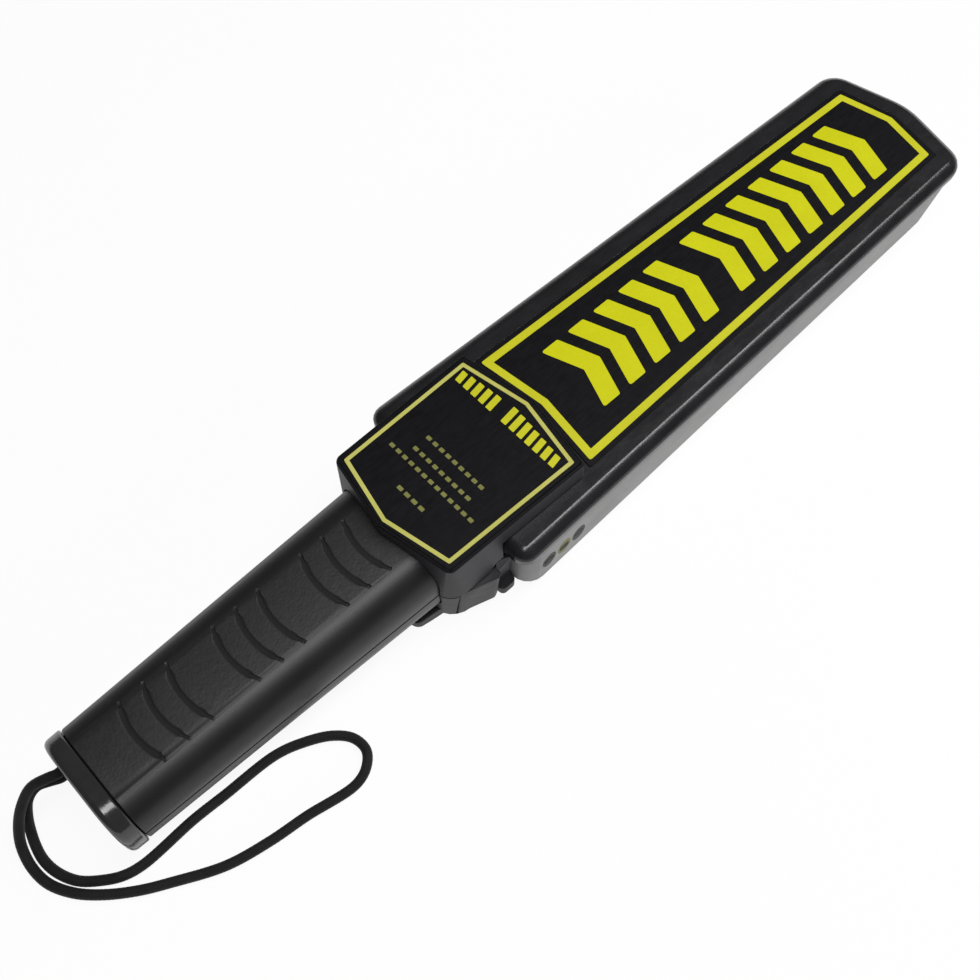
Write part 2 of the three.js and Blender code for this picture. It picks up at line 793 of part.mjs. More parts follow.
function thumbScoop() {
  const x = paddleStart - scoopInset;
  const geometry = new THREE.SphereGeometry(scoopRadius, roundSides, smallSides);
  geometry.rotateX(Math.PI / 2);
  geometry.translate(x, -neckSideAt(x, neckParting) - scoopRadius + scoopDepth, neckParting);
  return solidFrom(geometry);
}

// A plan shape with a rounded nose, cut to a sloping side profile
function fairing() {
  const front = neckCorner + neckWall + neckBottomDraft;
  const nose = front - fairingLength;
  const ceiling = handleAxis - handleNeckHeight / 2 - gap;
  const plan = stack([
    [nose, 0, fairingPointRadius],
    [nose + fairingPoint, -fairingNoseWidth / 2, fairingNoseRadius],
    [front, -fairingWidth / 2, smallestRadius],
    [front, fairingWidth / 2, smallestRadius],
    [nose + fairingPoint, fairingNoseWidth / 2, fairingNoseRadius],
  ], [[0, 0], [ceiling, 0]]);
  const profile = new THREE.Shape();
  profile.moveTo(front + overrun, 0);
  profile.lineTo(front + overrun, ceiling);
  profile.lineTo(nose - overrun, ceiling);
  profile.lineTo(nose, ceiling - fairingNoseThickness);
  profile.quadraticCurveTo((nose + front) / 2, 0, front, 0);
  const width = fairingWidth + overrun;
  const geometry = new THREE.ExtrudeGeometry(profile, {
    depth: width,
    bevelEnabled: false,
    curveSegments: cornerSteps,
  });
  geometry.rotateX(Math.PI / 2);
  geometry.translate(0, width / 2, 0);
  return plan.intersect(solidFrom(geometry));
}

const modePadHalfLength = modeKnobLength / 2 + modeTravel + modePadMargin;
const modeX = handleEnd + modePadInset + modePadHalfLength;
const modeZ = boardHeight + boardThickness + gap + modeSwitchHeight / 2;
const modePocketFace = neckHandleWidth / 2 - modePocketDepth;
const modePadFace = modePocketFace - modeWall;

function modePocket() {
  const halfLength = modeKnobLength / 2 + modeTravel + gap;
  const halfHeight = modeKnobHeight / 2 + gap;
  const outer = neckHandleWidth / 2 + overrun;
  return block(
    modeX - halfLength, modeX + halfLength, modePocketFace, outer, modeZ - halfHeight, modeZ + halfHeight);
}

function modeSlot() {
  const halfLength = modeStem / 2 + modeTravel + gap;
  const halfHeight = modeStem / 2 + gap;
  return block(
    modeX - halfLength, modeX + halfLength, modePadFace - overrun, modePocketFace + overrun,
    modeZ - halfHeight, modeZ + halfHeight);
}

function modePad() {
  return block(
    modeX - modePadHalfLength, modeX + modePadHalfLength, modePadFace, modePocketFace + weld,
    neckFloor - weld, baseTop);
}

function neckBase() {
  const lower = block(neckStart - overrun, baseFront, -paddleNeckWidth, paddleNeckWidth, 0, baseTop);
  const walls = without(neckOutside(), neckInside(), handlePassage()).intersect(lower);
  const bosses = neckScrewPlaces.map(([x, y]) => post(
    x, y, neckFloor - weld, baseTop, bossRadius, roundSides));
  const holes = neckScrewPlaces.flatMap(([x, y]) => [
    post(x, y, -overrun, baseTop + overrun, screwHole),
    post(x, y, -overrun, screwSeat, screwHeadRadius + gap, roundSides),
  ]);
  const pinX = paddleStart - buttonPivotInset;
  const pinY = -buttonPivotY();
  const pinHole = post(pinX, pinY, neckFloor - pinSocket, neckParting, pinRadius + turningGap);
  const seatY = springSeatY();
  const seat = block(
    paddleStart - springInset - springSeatWidth / 2, paddleStart - springInset + springSeatWidth / 2,
    seatY, seatY + springSeatWall, neckFloor - weld, springSeatHeight);
  const guardRear = paddleStart - buttonPivotInset + buttonLength + buttonSlit;
  const guardSide = neckSideAt(guardRear, guardBase);
  const guard = stack([
    [guardRear, -guardSide - guardProud, guardRadius],
    [baseFront, -guardSide - guardProud, guardRadius],
    [baseFront, -guardSide + neckWall, smallestRadius],
    [guardRear, -guardSide + neckWall, smallestRadius],
  ], [[guardBase, 0], [guardBase + guardHeight, 0]]);
  const nose = fairing().subtract(handlePassage());
  const whole = joined(walls, modePad(), ...bosses, seat, nose, guard);
  return without(whole, ...holes, pinHole, buttonPocket(), thumbScoop(), modePocket(), modeSlot());
}

const neckLabelCorners = insetCorners(neckCornersAt(neckHeight), neckLabelInset)
  .map(([x, y]) => [x, y, neckLabelRadius]);

function neckCover() {
  const upper = block(
    neckStart - overrun, overallLength, -paddleNeckWidth, paddleNeckWidth, neckCoverBottom, neckHeight);
  const underHood = block(
    neckFront, overallLength, -paddleNeckWidth, paddleNeckWidth, 0, paddleHeight + gap);
  const walls = without(neckOutside(), neckInside(), handlePassage()).intersect(upper).subtract(underHood);
  const bossTop = neckHeight - neckWall + weld;
  const bosses = neckScrewPlaces.map(([x, y]) => post(
    x, y, neckCoverBottom, bossTop, bossRadius - gap, roundSides));
  const holes = neckScrewPlaces.map(([x, y]) => post(
    x, y, neckCoverBottom - overrun, neckHeight - neckWall - screwTopMargin, screwHole));
  const pinX = paddleStart - buttonPivotInset;
  const pinY = -buttonPivotY();
  const pinBoss = post(pinX, pinY, neckCoverBottom, neckCoverBottom + pinBossHeight, pinBossRadius)
    .intersect(neckOutside());
  const pinHole = post(
    pinX, pinY, neckCoverBottom - overrun, neckCoverBottom + pinTopSocket, pinRadius + turningGap);
  const recess = stack(neckLabelCorners, [
    [neckHeight - labelRecess, -labelMargin],
    [neckHeight + overrun, -labelMargin],
  ], labelSteps);
  return without(joined(walls, ...bosses, pinBoss), ...holes, pinHole, recess, thumbScoop(), modePocket());
}

function neckLabel() {
  const low = neckHeight - labelRecess + turningGap;
  return stack(neckLabelCorners, [[low, 0], [low + labelThickness, 0]], labelSteps);
}

// Grip

function handleShell() {
  const outside = joined(
    handleForm([[handleStart, 0], [handleEnd, 0]]),
    handleForm([[handleEnd - handleFlangeLength, -handleFlange], [handleEnd, -handleFlange]]));
  const inside = handleForm([[handleStart - overrun, handleWall], [handleEnd + overrun, handleWall]]);
  return outside.subtract(inside);
}

function handleRib(x, thickness) {
  const inset = handleWall - ribWeld;
  return handleForm([[x - thickness / 2, inset], [x + thickness / 2, inset]]);
}

function batteryRoom() {
  return block(
    batteryStart - overrun, batteryStart + batteryLength + snapThickness + gap * 2,
    -batteryWidth / 2 - gap, batteryWidth / 2 + gap,
    handleAxis - batteryHeight / 2 - gap, handleAxis + batteryHeight / 2 + gap);
}

function handleRibs() {
  const batteryRibs = batteryRibShares.map(
    (share) => handleRib(batteryStart + batteryLength * share, ribThickness));
  const motorRibs = motorRibShares.map(
    (share) => handleRib(motorStart + motorLength * share, motorRibWall));
  const motorRoom = rod(
    motorStart - overrun, motorEnd + overrun, 0, handleAxis, motorRadius + gap, roundSides);
  const low = handleAxis - cableChannelHeight / 2;
  const high = handleAxis + cableChannelHeight / 2;
  const outer = handleCapWidth / 2;
  const leftChannel = block(handleStart, handleEnd, cableChannelInner, outer, low, high);
  const rightChannel = block(handleStart, handleEnd, -outer, -cableChannelInner, low, high);
  const ribs = joined(...batteryRibs, handleRib(snapRibX, ribThickness), ...motorRibs);
  return without(ribs, batteryRoom(), motorRoom, leftChannel, rightChannel);
}

const handleScrewPlaces = [handleScrewRearX, handleScrewFrontX];

function handleScrewFloor(x) {
  return handleAxis - handleHalfHeightAt(x);
}

function gripGrooves() {
  const reach = Math.asin(grooveHalfSpan / grooveRadius);
  const cuts = [];
  for (let group = 0; group < grooveGroups; group += 1) {
    for (let i = 0; i < groovesInGroup; i += 1) {
      const x = grooveFirstX + group * grooveGroupPitch + i * groovePitch;
      const top = handleAxis + handleHalfHeightAt(x);
      const shape = new THREE.Shape();
      const centre = x + grooveRadius;
      shape.absarc(centre, 0, grooveRadius + grooveWidth / 2, Math.PI - reach, Math.PI + reach, false);
      shape.absarc(centre, 0, grooveRadius - grooveWidth / 2, Math.PI + reach, Math.PI - reach, true);
      const geometry = new THREE.ExtrudeGeometry(shape, {
        depth: overrun,
        bevelEnabled: false,
        curveSegments: grooveSteps,
      });
      geometry.translate(0, 0, top - grooveDepth);
      cuts.push(solidFrom(geometry));
    }
  }
  return cuts;
}

function handleHalf(z0, z1) {
  const slab = block(0, overallLength, -paddleNeckWidth, paddleNeckWidth, z0, z1);
  return joined(handleShell(), handleRibs()).intersect(slab);
}

function handleLower() {
  const top = handleAxis - partingGap / 2;
  const bosses = handleScrewPlaces.map((x) => post(
    x, 0, handleScrewFloor(x) + weld, top, bossRadius, roundSides));
  const holes = handleScrewPlaces.flatMap((x) => [
    post(x, 0, -overrun, top + overrun, screwHole),
    post(x, 0, -overrun, handleScrewFloor(x) + screwSeat, screwHeadRadius + gap, roundSides),
  ]);
  return without(joined(handleHalf(0, top), ...bosses), ...holes);
}

function handleUpper() {
  const bottom = handleAxis + partingGap / 2;
  const bosses = handleScrewPlaces.map((x) => post(
    x, 0, bottom, handleAxis + handleHalfHeightAt(x) - handleWall + weld, bossRadius - gap, roundSides));
  const holes = handleScrewPlaces.map((x) => post(
    x, 0, bottom - overrun, handleAxis + handleHalfHeightAt(x) - handleWall - screwTopMargin, screwHole));
  return without(joined(handleHalf(bottom, neckHeight), ...bosses), ...holes, ...gripGrooves());
}

// End cap, cord knot and wrist cord

function cordSlot(x0, x1, margin) {
  const half = cordStrandPitch / 2 + cordDiameter / 2;
  const corners = [
    [cordSlotY - cordDiameter / 2, -half, cordDiameter / 2],
    [cordSlotY + cordDiameter / 2, -half, cordDiameter / 2],
    [cordSlotY + cordDiameter / 2, half, cordDiameter / 2],
    [cordSlotY - cordDiameter / 2, half, cordDiameter / 2],
  ];
  const outline = outlinePoints(corners, -margin, windowSteps);
  return loft([outline, outline], (point, k) => [
    k === 0 ? x0 : x1, point.x, handleAxis + point.y]);
}

function endCap() {
  const spigotEnd = capLength + spigotLength;
  const edge = Array.from({ length: crownSteps + 1 }, (unused, i) => {
    const turn = (i / crownSteps) * (Math.PI / 2);
    return [capEdge * (1 - Math.sin(turn)), capEdge * (1 - Math.cos(turn)) - capOverhang];
  }).reverse();
  const plate = handleForm([...edge, [capLength, -capOverhang]]);
  const spigot = handleForm([[capFloor, handleWall + gap], [spigotEnd, handleWall + gap]]);
  const hollow = handleForm([
    [capFloor, handleWall + gap + spigotWall],
    [spigotEnd + overrun, handleWall + gap + spigotWall],
  ]);
  return without(joined(plate, spigot), hollow, cordSlot(-overrun, capLength, cordSlotMargin));
}

const strandHeights = [handleAxis - cordStrandPitch / 2, handleAxis + cordStrandPitch / 2];

function strapKnot() {
  const knotLength = knotRadius * knotLengthShare * 2;
  const geometry = new THREE.SphereGeometry(knotRadius, smallSides, cordSides);
  geometry.scale(knotLengthShare, 1, knotHeight / knotRadius / 2);
  geometry.translate(capFloor + gap + knotLength / 2, cordSlotY, handleAxis);
  const strandEnd = capFloor + knotLength / 2;
  const strands = strandHeights.map((z) => rod(0, strandEnd, cordSlotY, z, cordDiameter / 2, cordSides));
  return joined(solidFrom(geometry), ...strands);
}

// The cord's route by hand: out of the lower hole, down to the floor, round the loop that lies
// beside the grip, and back up into the upper hole. Distances from the cap's end face.
const cordRoute = [
  [-0.3, 12, 20.4], [-2.3, 12, 20.4], [-5.2, 13.3, 20.6], [-9.6, 15.7, 18.8], [-14.6, 16.2, 14.0],
  [-18.4, 14.2, 8.2], [-21.0, 11.0, 3.6], [-22.6, 6.6, 1.9], [-23.2, 1.4, 1.9], [-22.2, -4.8, 1.9],
  [-18.8, -11.6, 1.9], [-13.2, -16.7, 1.9], [-7.4, -20.2, 1.9], [-0.7, -21.8, 1.9], [19.8, -21.4, 1.9],
  [31.9, -22.0, 1.9], [52.4, -23.0, 1.9], [61.4, -25.8, 1.9], [70.6, -30.9, 1.9], [75.4, -36.6, 1.9],
  [75.9, -42.6, 1.9], [72.2, -47.0, 1.9], [66.0, -49.1, 1.9], [47.3, -45.9, 1.9], [33.6, -44.0, 1.9],
  [18.7, -40.4, 1.9], [3.2, -32.8, 1.9], [-6.7, -27.2, 1.9], [-15.7, -20.4, 1.9], [-21.9, -13.8, 1.9],
  [-26.2, -5.8, 1.9], [-27.2, 2.0, 2.2], [-25.6, 8.4, 5.2], [-21.8, 12.2, 11.2], [-16.6, 14.4, 17.6],
  [-10.6, 14.8, 23.0], [-5.2, 12.9, 24.9], [-2.3, 12, 24.6], [-0.3, 12, 24.6],
];

function roundSection(radius, sides) {
  const points = new THREE.EllipseCurve(0, 0, radius, radius).getPoints(sides);
  return new THREE.Shape(points.slice(0, sides));
}

function wristStrap() {
  const points = cordRoute.map((point) => new THREE.Vector3(...point));
  const route = new THREE.CatmullRomCurve3(points, false, "centripetal");
  return solidFrom(new THREE.ExtrudeGeometry(roundSection(cordDiameter / 2, cordSides), {
    steps: cordSteps,
    extrudePath: route,
    bevelEnabled: false,
  }));
}

// Battery and its snap connector

function terminalPlaces() {
  return [-terminalPitch / 2, terminalPitch / 2];
}

function battery() {
  const corners = [
    [-batteryWidth / 2, -batteryHeight / 2, batteryRadius],
    [batteryWidth / 2, -batteryHeight / 2, batteryRadius],
    [batteryWidth / 2, batteryHeight / 2, batteryRadius],
    [-batteryWidth / 2, batteryHeight / 2, batteryRadius],
  ];
  const end = batteryStart + batteryLength;
  const outline = outlinePoints(corners, 0, windowSteps);
  const can = loft([outline, outline], (point, k) => [
    k === 0 ? batteryStart : end, point.x, handleAxis + point.y]);
  const terminals = terminalPlaces().map((y) => rod(
    end - weld, end + terminalHeight, y, handleAxis, terminalRadius));
  return joined(can, ...terminals);
}

function batterySnap() {
  const start = batteryStart + batteryLength + gap;
  const plate = block(
    start, start + snapThickness,
    -batteryWidth / 2 + snapMargin, batteryWidth / 2 - snapMargin,
    handleAxis - batteryHeight / 2 + snapMargin, handleAxis + batteryHeight / 2 - snapMargin);
  const sockets = terminalPlaces().map((y) => rod(
    start - overrun, start + terminalHeight + gap, y, handleAxis, terminalRadius + gap));
  return without(plate, ...sockets);
}

// Vibration motor

function vibrationMotor() {
  const can = rod(motorStart, motorEnd, 0, handleAxis, motorRadius, roundSides);
  const bearing = rod(
    motorEnd - motorShaftEngagement, motorEnd + overrun, 0, handleAxis, motorShaftRadius + turningGap);
  return can.subtract(bearing);
}

function eccentricWeight() {
  const end = weightStart + weightLength;
  const disc = rod(weightStart, end, 0, handleAxis, weightRadius, roundSides);
  const lowerHalf = block(
    weightStart, end, -weightRadius, weightRadius, handleAxis - weightRadius, handleAxis);
  const hub = rod(weightStart, end, 0, handleAxis, weightHubRadius);
  const shaft = rod(motorEnd - motorShaftEngagement + gap, end, 0, handleAxis, motorShaftRadius);
  return joined(disc.intersect(lowerHalf), hub, shaft);
}

// Circuit board and what stands on it

function mainBoard() {
  const rear = handleEnd + boardRearMargin;
  const step = paddleStart + boardStepInset;
  const front = paddleStart + boardFrontInset;
  const neckPart = block(
    rear, step + weld, -boardNeckWidth / 2, boardNeckWidth / 2, boardHeight, boardHeight + boardThickness);
  const paddlePart = block(
    step, front, -boardPaddleWidth / 2, boardPaddleWidth / 2, boardHeight, boardHeight + boardThickness);
  const chipX = paddleStart + chipInset;
  const chipTop = boardHeight + boardThickness + chipThickness;
  const chips = [-chipOffset, 0, chipOffset].map((y) => block(
    chipX - chipSize / 2, chipX + chipSize / 2, y - chipSize / 2, y + chipSize / 2,
    boardHeight + weld, chipTop));
  const bossHoles = neckScrewPlaces.map(([x, y]) => post(
    x, y, boardHeight - overrun, boardHeight + boardThickness + overrun, bossRadius + looseGap, roundSides));
  return without(joined(neckPart, paddlePart, ...chips), ...bossHoles);
}

const onBoard = boardHeight + boardThickness + gap;

function tactSwitch() {
  const front = plungerFront() + plungerProud;
  const x = paddleStart - switchInset;
  const body = block(
    x - switchWidth / 2, x + switchWidth / 2, front, front + switchDepth, onBoard, onBoard + switchHeight);
  const bore = crossRod(
    x, front - overrun, front - plungerProud + plungerLength + plungerTravel + gap,
    onBoard + switchHeight / 2, plungerRadius + turningGap);
  return body.subtract(bore);
}

function tactPlunger() {
  const x = paddleStart - switchInset;
  const front = plungerFront();
  return crossRod(x, front, front + plungerLength, onBoard + switchHeight / 2, plungerRadius);
}

function slideSwitch() {
  const outer = modePadFace - modeSwitchGap;
  const body = block(
    modeX - modeSwitchLength / 2, modeX + modeSwitchLength / 2, outer - modeSwitchDepth, outer,
    modeZ - modeSwitchHeight / 2, modeZ + modeSwitchHeight / 2);
  const half = modeStem / 2 + gap;
  const channel = block(
    modeX - half - modeTravel, modeX + half + modeTravel, outer - modeStemEngagement - gap, outer + overrun,
    modeZ - half, modeZ + half);
  return body.subtract(channel);
}

function modeSlider() {
  const face = modePocketFace + gap;
  const knob = block(
    modeX - modeKnobLength / 2, modeX + modeKnobLength / 2, face, face + modeKnobThickness,
    modeZ - modeKnobHeight / 2, modeZ + modeKnobHeight / 2);
  const ridgeTop = face + modeKnobThickness + modeRidgeHeight;
  const middle = (modeRidges - 1) / 2;
  const ridges = Array.from({ length: modeRidges }, (unused, i) => {
    const x = modeX + (i - middle) * modeRidgePitch;
    return block(
      x - modeRidgeWidth / 2, x + modeRidgeWidth / 2, face + modeKnobThickness - weld, ridgeTop,
      modeZ - modeKnobHeight / 2, modeZ + modeKnobHeight / 2);
  });
  const stemEnd = modePadFace - modeSwitchGap - modeStemEngagement;
  const stem = block(
    modeX - modeStem / 2, modeX + modeStem / 2, stemEnd, face + weld,
    modeZ - modeStem / 2, modeZ + modeStem / 2);
  return joined(knob, ...ridges, stem);
}

// Sensitivity button

function buttonPivotY() {
  return neckSideAt(paddleStart - buttonPivotInset, neckParting) - buttonPivotDepth;
}

function buttonInnerY() {
  return -buttonPivotY() + buttonInnerFace;
}

function plungerFront() {
  return buttonInnerY() + gap;
}

function springSeatY() {
  return buttonInnerY() + springLength + gap * 2;
}

// The lever's outline in plan at a height: sunk at the pivot end, proud at the other
function buttonOutline(z) {
  const pivotX = paddleStart - buttonPivotInset;
  const rear = pivotX - buttonRearLength;
  const front = pivotX + buttonLength;
  const wall = (x) => -neckSideAt(x, z);
  const rise = THREE.MathUtils.lerp(rear, front, buttonRiseShare);
  const crest = front - buttonCrestInset;
  return outlinePoints([
    [rear, wall(rear) + buttonTailSink, buttonCornerRadius],
    [rise, wall(rise) - buttonRiseProud, buttonRiseRadius],
    [crest, wall(crest) - buttonProud, buttonCrestRadius],
    [front, wall(front) - buttonProud * (1 - buttonRiseShare), buttonCornerRadius],
    [front, buttonInnerY(), buttonCornerRadius],
    [pivotX + buttonRearLength, buttonInnerY(), buttonCornerRadius],
    [pivotX, -buttonPivotY() + buttonRearLength, buttonCornerRadius],
    [rear, -buttonPivotY() + buttonRearLength, buttonCornerRadius],
  ], 0, windowSteps);
}

function scanButton() {
  const low = buttonFloor + gap;
  const high = neckParting - gap;
  const levels = [low, high];
  const lever = loft(levels.map(buttonOutline), (point, k) => [point.x, point.y, levels[k]]);
  const bore = post(
    paddleStart - buttonPivotInset, -buttonPivotY(), low - overrun, high + overrun, pinRadius + turningGap);
  return without(lever, bore);
}

function buttonPin() {
  return post(
    paddleStart - buttonPivotInset, -buttonPivotY(),
    neckFloor - pinSocket + gap, neckCoverBottom + pinTopSocket - gap, pinRadius);
}

class Helix extends THREE.Curve {
  getPoint(share, target = new THREE.Vector3()) {
    const turn = share * springTurns * Math.PI * 2;
    const run = springLength - springWire;
    return target.set(
      Math.cos(turn) * springRadius, springWire / 2 + share * run, Math.sin(turn) * springRadius);
  }
}

function buttonSpring() {
  const geometry = new THREE.ExtrudeGeometry(roundSection(springWire / 2, wireSides), {
    steps: springTurns * stepsPerTurn,
    extrudePath: new Helix(),
    bevelEnabled: false,
  });
  geometry.translate(paddleStart - springInset, buttonInnerY() + gap, springHeight);
  return solidFrom(geometry);
}

// Lamps, speaker, coils

function lampLens(x) {
  const wall = -shellSideAt(x, lampHeight);
  return lampWindow(x, wall - lampProud, wall + paddleWall, 0);
}

// A domed lamp that points out to the right, turned about its own axis
function lampBody() {
  const straight = lampLength - lampRadius;
  const dome = new THREE.EllipseCurve(0, straight, lampRadius, lampRadius, 0, Math.PI / 2).getPoints(3);
  const profile = [
    new THREE.Vector2(0, 0),
    new THREE.Vector2(lampRimRadius, 0),
    new THREE.Vector2(lampRimRadius, lampRimLength),
    new THREE.Vector2(lampRadius, lampRimLength),
    ...dome.slice(0, 3),
    new THREE.Vector2(0, lampLength),
  ];
  const geometry = new THREE.LatheGeometry(profile, smallSides);
  geometry.rotateX(Math.PI);
  return solidFrom(geometry);
}

function speaker() {
  const profile = [
    new THREE.Vector2(0, 0),
    new THREE.Vector2(speakerRadius, 0),
    new THREE.Vector2(speakerRadius, speakerFrameHeight),
    new THREE.Vector2(speakerMagnetRadius, speakerFrameHeight),
    new THREE.Vector2(speakerMagnetRadius, speakerHeight),
    new THREE.Vector2(0, speakerHeight),
  ];
  const geometry = new THREE.LatheGeometry(profile, roundSides);
  geometry.rotateX(Math.PI / 2);
  return solidFrom(geometry);
}

const coilCorners = [
  [paddleStart + coilStartInset, -coilNeckWidth / 2, coilCornerRadius],
  [overallLength - coilEndInset, -coilTipWidth / 2, coilCornerRadius],
  [overallLength - coilEndInset, coilTipWidth / 2, coilCornerRadius],
  [paddleStart + coilStartInset, coilNeckWidth / 2, coilCornerRadius],
];

function track(low, high, outerInset, width) {
  const outer = stack(coilCorners, [[low, outerInset], [high, outerInset]]);
  const innerInset = outerInset + width;
  const inner = stack(coilCorners, [[low - overrun, innerInset], [high + overrun, innerInset]]);
  return outer.subtract(inner);
}

const carrierFloor = shellFloor + gap;
const coilFloor = carrierFloor + carrierThickness + gap;
const outerWallInset = coilBand + gap;
const innerCoilInset = outerWallInset + carrierWall + carrierStep + carrierWall + gap;

function transmitCoil() {
  return track(coilFloor, coilFloor + coilHeight, 0, coilBand);
}

function receiveCoil() {
  return track(coilFloor, coilFloor + coilHeight, innerCoilInset, coilBand);
}

function coilCarrier() {
  const plateTop = carrierFloor + carrierThickness;
  const wallTop = coilFloor + coilHeight;
  const plateInner = innerCoilInset + coilBand + carrierMargin;
  const plate = track(carrierFloor, plateTop, -carrierMargin, plateInner + carrierMargin);
  const web = block(
    paddleStart + coilStartInset + carrierMargin, overallLength - coilEndInset - carrierMargin,
    -carrierWebWidth / 2, carrierWebWidth / 2, carrierFloor, plateTop);
  const outerWall = track(plateTop - weld, wallTop, outerWallInset, carrierWall);
  const innerWall = track(plateTop - weld, wallTop, outerWallInset + carrierWall + carrierStep, carrierWall);
  return joined(plate, web, outerWall, innerWall);
}

// One case screw, head down, standing on its head's underside
function caseScrew(length) {
  const profile = [
    new THREE.Vector2(0, 0),
    new THREE.Vector2(screwHeadRadius, 0),
    new THREE.Vector2(screwHeadRadius, screwHeadHeight),
    new THREE.Vector2(screwShankRadius, screwHeadHeight),
    new THREE.Vector2(screwShankRadius, length - screwShankRadius),
    new THREE.Vector2(0, length),
  ];
  const geometry = new THREE.LatheGeometry(profile, smallSides);
  geometry.rotateX(Math.PI / 2);
  return solidFrom(geometry);
}

// Materials

function material(colour, roughness, metalness = 0) {
  return new THREE.MeshStandardMaterial({ color: colour, roughness, metalness });
}

const blackGloss = material(0x17181b, 0.28);
const greyShell = material(0x8c8c8c, 0.55);
const neckGrey = material(0x3b3b3d, 0.55);
const gripBlack = material(0x2a2829, 0.62);
const capBlack = material(0x252426, 0.35);
const labelBlack = material(0x14141a, 0.45);
const buttonGrey = material(0x3d3d3f, 0.5);
const cordBlack = material(0x202022, 0.85);
const steel = material(0xb8babd, 0.3, 1);
const copper = material(0xb4673a, 0.4, 1);
const boardGreen = material(0x1f5a34, 0.5);
const whitePlastic = material(0xe6e3da, 0.5);
const darkPlastic = material(0x1c1c1e, 0.6);
const batterySkin = material(0x34383d, 0.4);
const redLamp = material(0xa01818, 0.25);
const yellowLamp = material(0xc7a71c, 0.25);
const greenLamp = material(0x1d8a3a, 0.25);
const smokedWindow = material(0x2a2626, 0.2);

// The assembly

const wand = new THREE.Group();
const root = new THREE.Group();
wand.add(root);

function place(name, solid, look, x = 0, y = 0, z = 0) {
  const mesh = new THREE.Mesh(geometryFrom(solid), look);
  mesh.name = name;
  mesh.position.set(x, y, z);
  root.add(mesh);
}

place("paddle_shell", paddleShell(), greyShell);
place("paddle_cover", paddleCover(), blackGloss);
place("paddle_label", paddleLabel(), labelBlack);
place("neck_base", neckBase(), neckGrey);
place("neck_cover", neckCover(), neckGrey);
place("neck_label", neckLabel(), labelBlack);
place("handle_lower", handleLower(), gripBlack);
place("handle_upper", handleUpper(), gripBlack);
place("end_cap", endCap(), capBlack);
place("strap_knot", strapKnot(), cordBlack);
place("wrist_strap", wristStrap(), cordBlack);
place("battery", battery(), batterySkin);
place("battery_snap", batterySnap(), darkPlastic);
place("vibration_motor", vibrationMotor(), steel);
place("eccentric_weight", eccentricWeight(), steel);
place("main_board", mainBoard(), boardGreen);
place("scan_button", scanButton(), buttonGrey);
place("button_pin", buttonPin(), steel);
place("button_spring", buttonSpring(), steel);
place("tact_switch", tactSwitch(), darkPlastic);
place("tact_plunger", tactPlunger(), whitePlastic);
place("slide_switch", slideSwitch(), darkPlastic);
place("mode_slider", modeSlider(), buttonGrey);
place("coil_carrier", coilCarrier(), whitePlastic);
place("transmit_coil", transmitCoil(), copper);
place("receive_coil", receiveCoil(), copper);
place("speaker", speaker(), darkPlastic, paddleStart + speakerInset, speakerOffset, shellFloor + gap);

const lampNames = ["red", "yellow", "green"];
const lampLooks = [redLamp, yellowLamp, greenLamp];
lampPlaces().forEach((x, i) => {
  place("lamp_window_" + lampNames[i], lampLens(x), smokedWindow);
  place("lamp_" + lampNames[i], lampBody(), lampLooks[i], x, -lampFoot, lampHeight);
});

const paddleScrewLength = paddleHeight - coverWall - screwTopMargin - screwSink;
paddleScrewPlaces.forEach(([x, y], i) => {
  place("paddle_screw_" + (i + 1), caseScrew(paddleScrewLength), steel, x, y, screwSink);
});
const neckScrewLength = neckHeight - neckWall - screwTopMargin * 2 - screwSink;
neckScrewPlaces.forEach(([x, y], i) => {
  place("neck_screw_" + (i + 1), caseScrew(neckScrewLength), steel, x, y, screwSink);
});
handleScrewPlaces.forEach((x, i) => {
  const length = handleHalfHeightAt(x) * 2 - handleWall - screwTopMargin * 2 - screwSink;
  place("handle_screw_" + (i + 1), caseScrew(length), steel, x, 0, handleScrewFloor(x) + screwSink);
});

root.position.x = -overallLength / 2;

export default wand;
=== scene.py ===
import json
import math

import bmesh
import bpy
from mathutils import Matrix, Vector


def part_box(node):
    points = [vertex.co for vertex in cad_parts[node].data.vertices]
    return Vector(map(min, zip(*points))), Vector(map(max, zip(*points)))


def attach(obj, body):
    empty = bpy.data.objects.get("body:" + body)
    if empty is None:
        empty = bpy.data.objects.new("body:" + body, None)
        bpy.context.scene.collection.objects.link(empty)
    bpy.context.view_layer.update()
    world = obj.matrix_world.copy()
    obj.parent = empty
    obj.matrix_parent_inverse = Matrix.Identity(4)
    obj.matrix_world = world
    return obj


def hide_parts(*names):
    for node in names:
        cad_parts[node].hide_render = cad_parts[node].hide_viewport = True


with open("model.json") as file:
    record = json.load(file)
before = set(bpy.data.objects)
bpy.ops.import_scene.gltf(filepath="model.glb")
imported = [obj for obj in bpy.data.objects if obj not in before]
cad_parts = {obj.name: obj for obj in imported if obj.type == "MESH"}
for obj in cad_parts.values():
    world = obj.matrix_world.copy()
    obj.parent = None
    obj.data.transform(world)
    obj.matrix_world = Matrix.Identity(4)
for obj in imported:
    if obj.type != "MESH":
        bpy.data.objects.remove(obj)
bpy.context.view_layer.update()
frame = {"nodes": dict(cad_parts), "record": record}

MM = 0.001

# Camera, solved from the photograph's perspective
camera_place = Vector((-0.17335, -0.14965, 0.39702))
camera_target = Vector((-0.0310, 0.0014, 0.0))
camera_lens = 43.68

camera_data = bpy.data.cameras.new("camera")
camera_data.lens = camera_lens
camera_data.clip_start = 0.01
camera_data.clip_end = 20
camera = bpy.data.objects.new("camera", camera_data)
camera.location = camera_place
camera.rotation_mode = "QUATERNION"
camera.rotation_quaternion = (camera_target - camera_place).to_track_quat("-Z", "Y")
bpy.context.scene.collection.objects.link(camera)
bpy.context.scene.camera = camera


# Node helpers

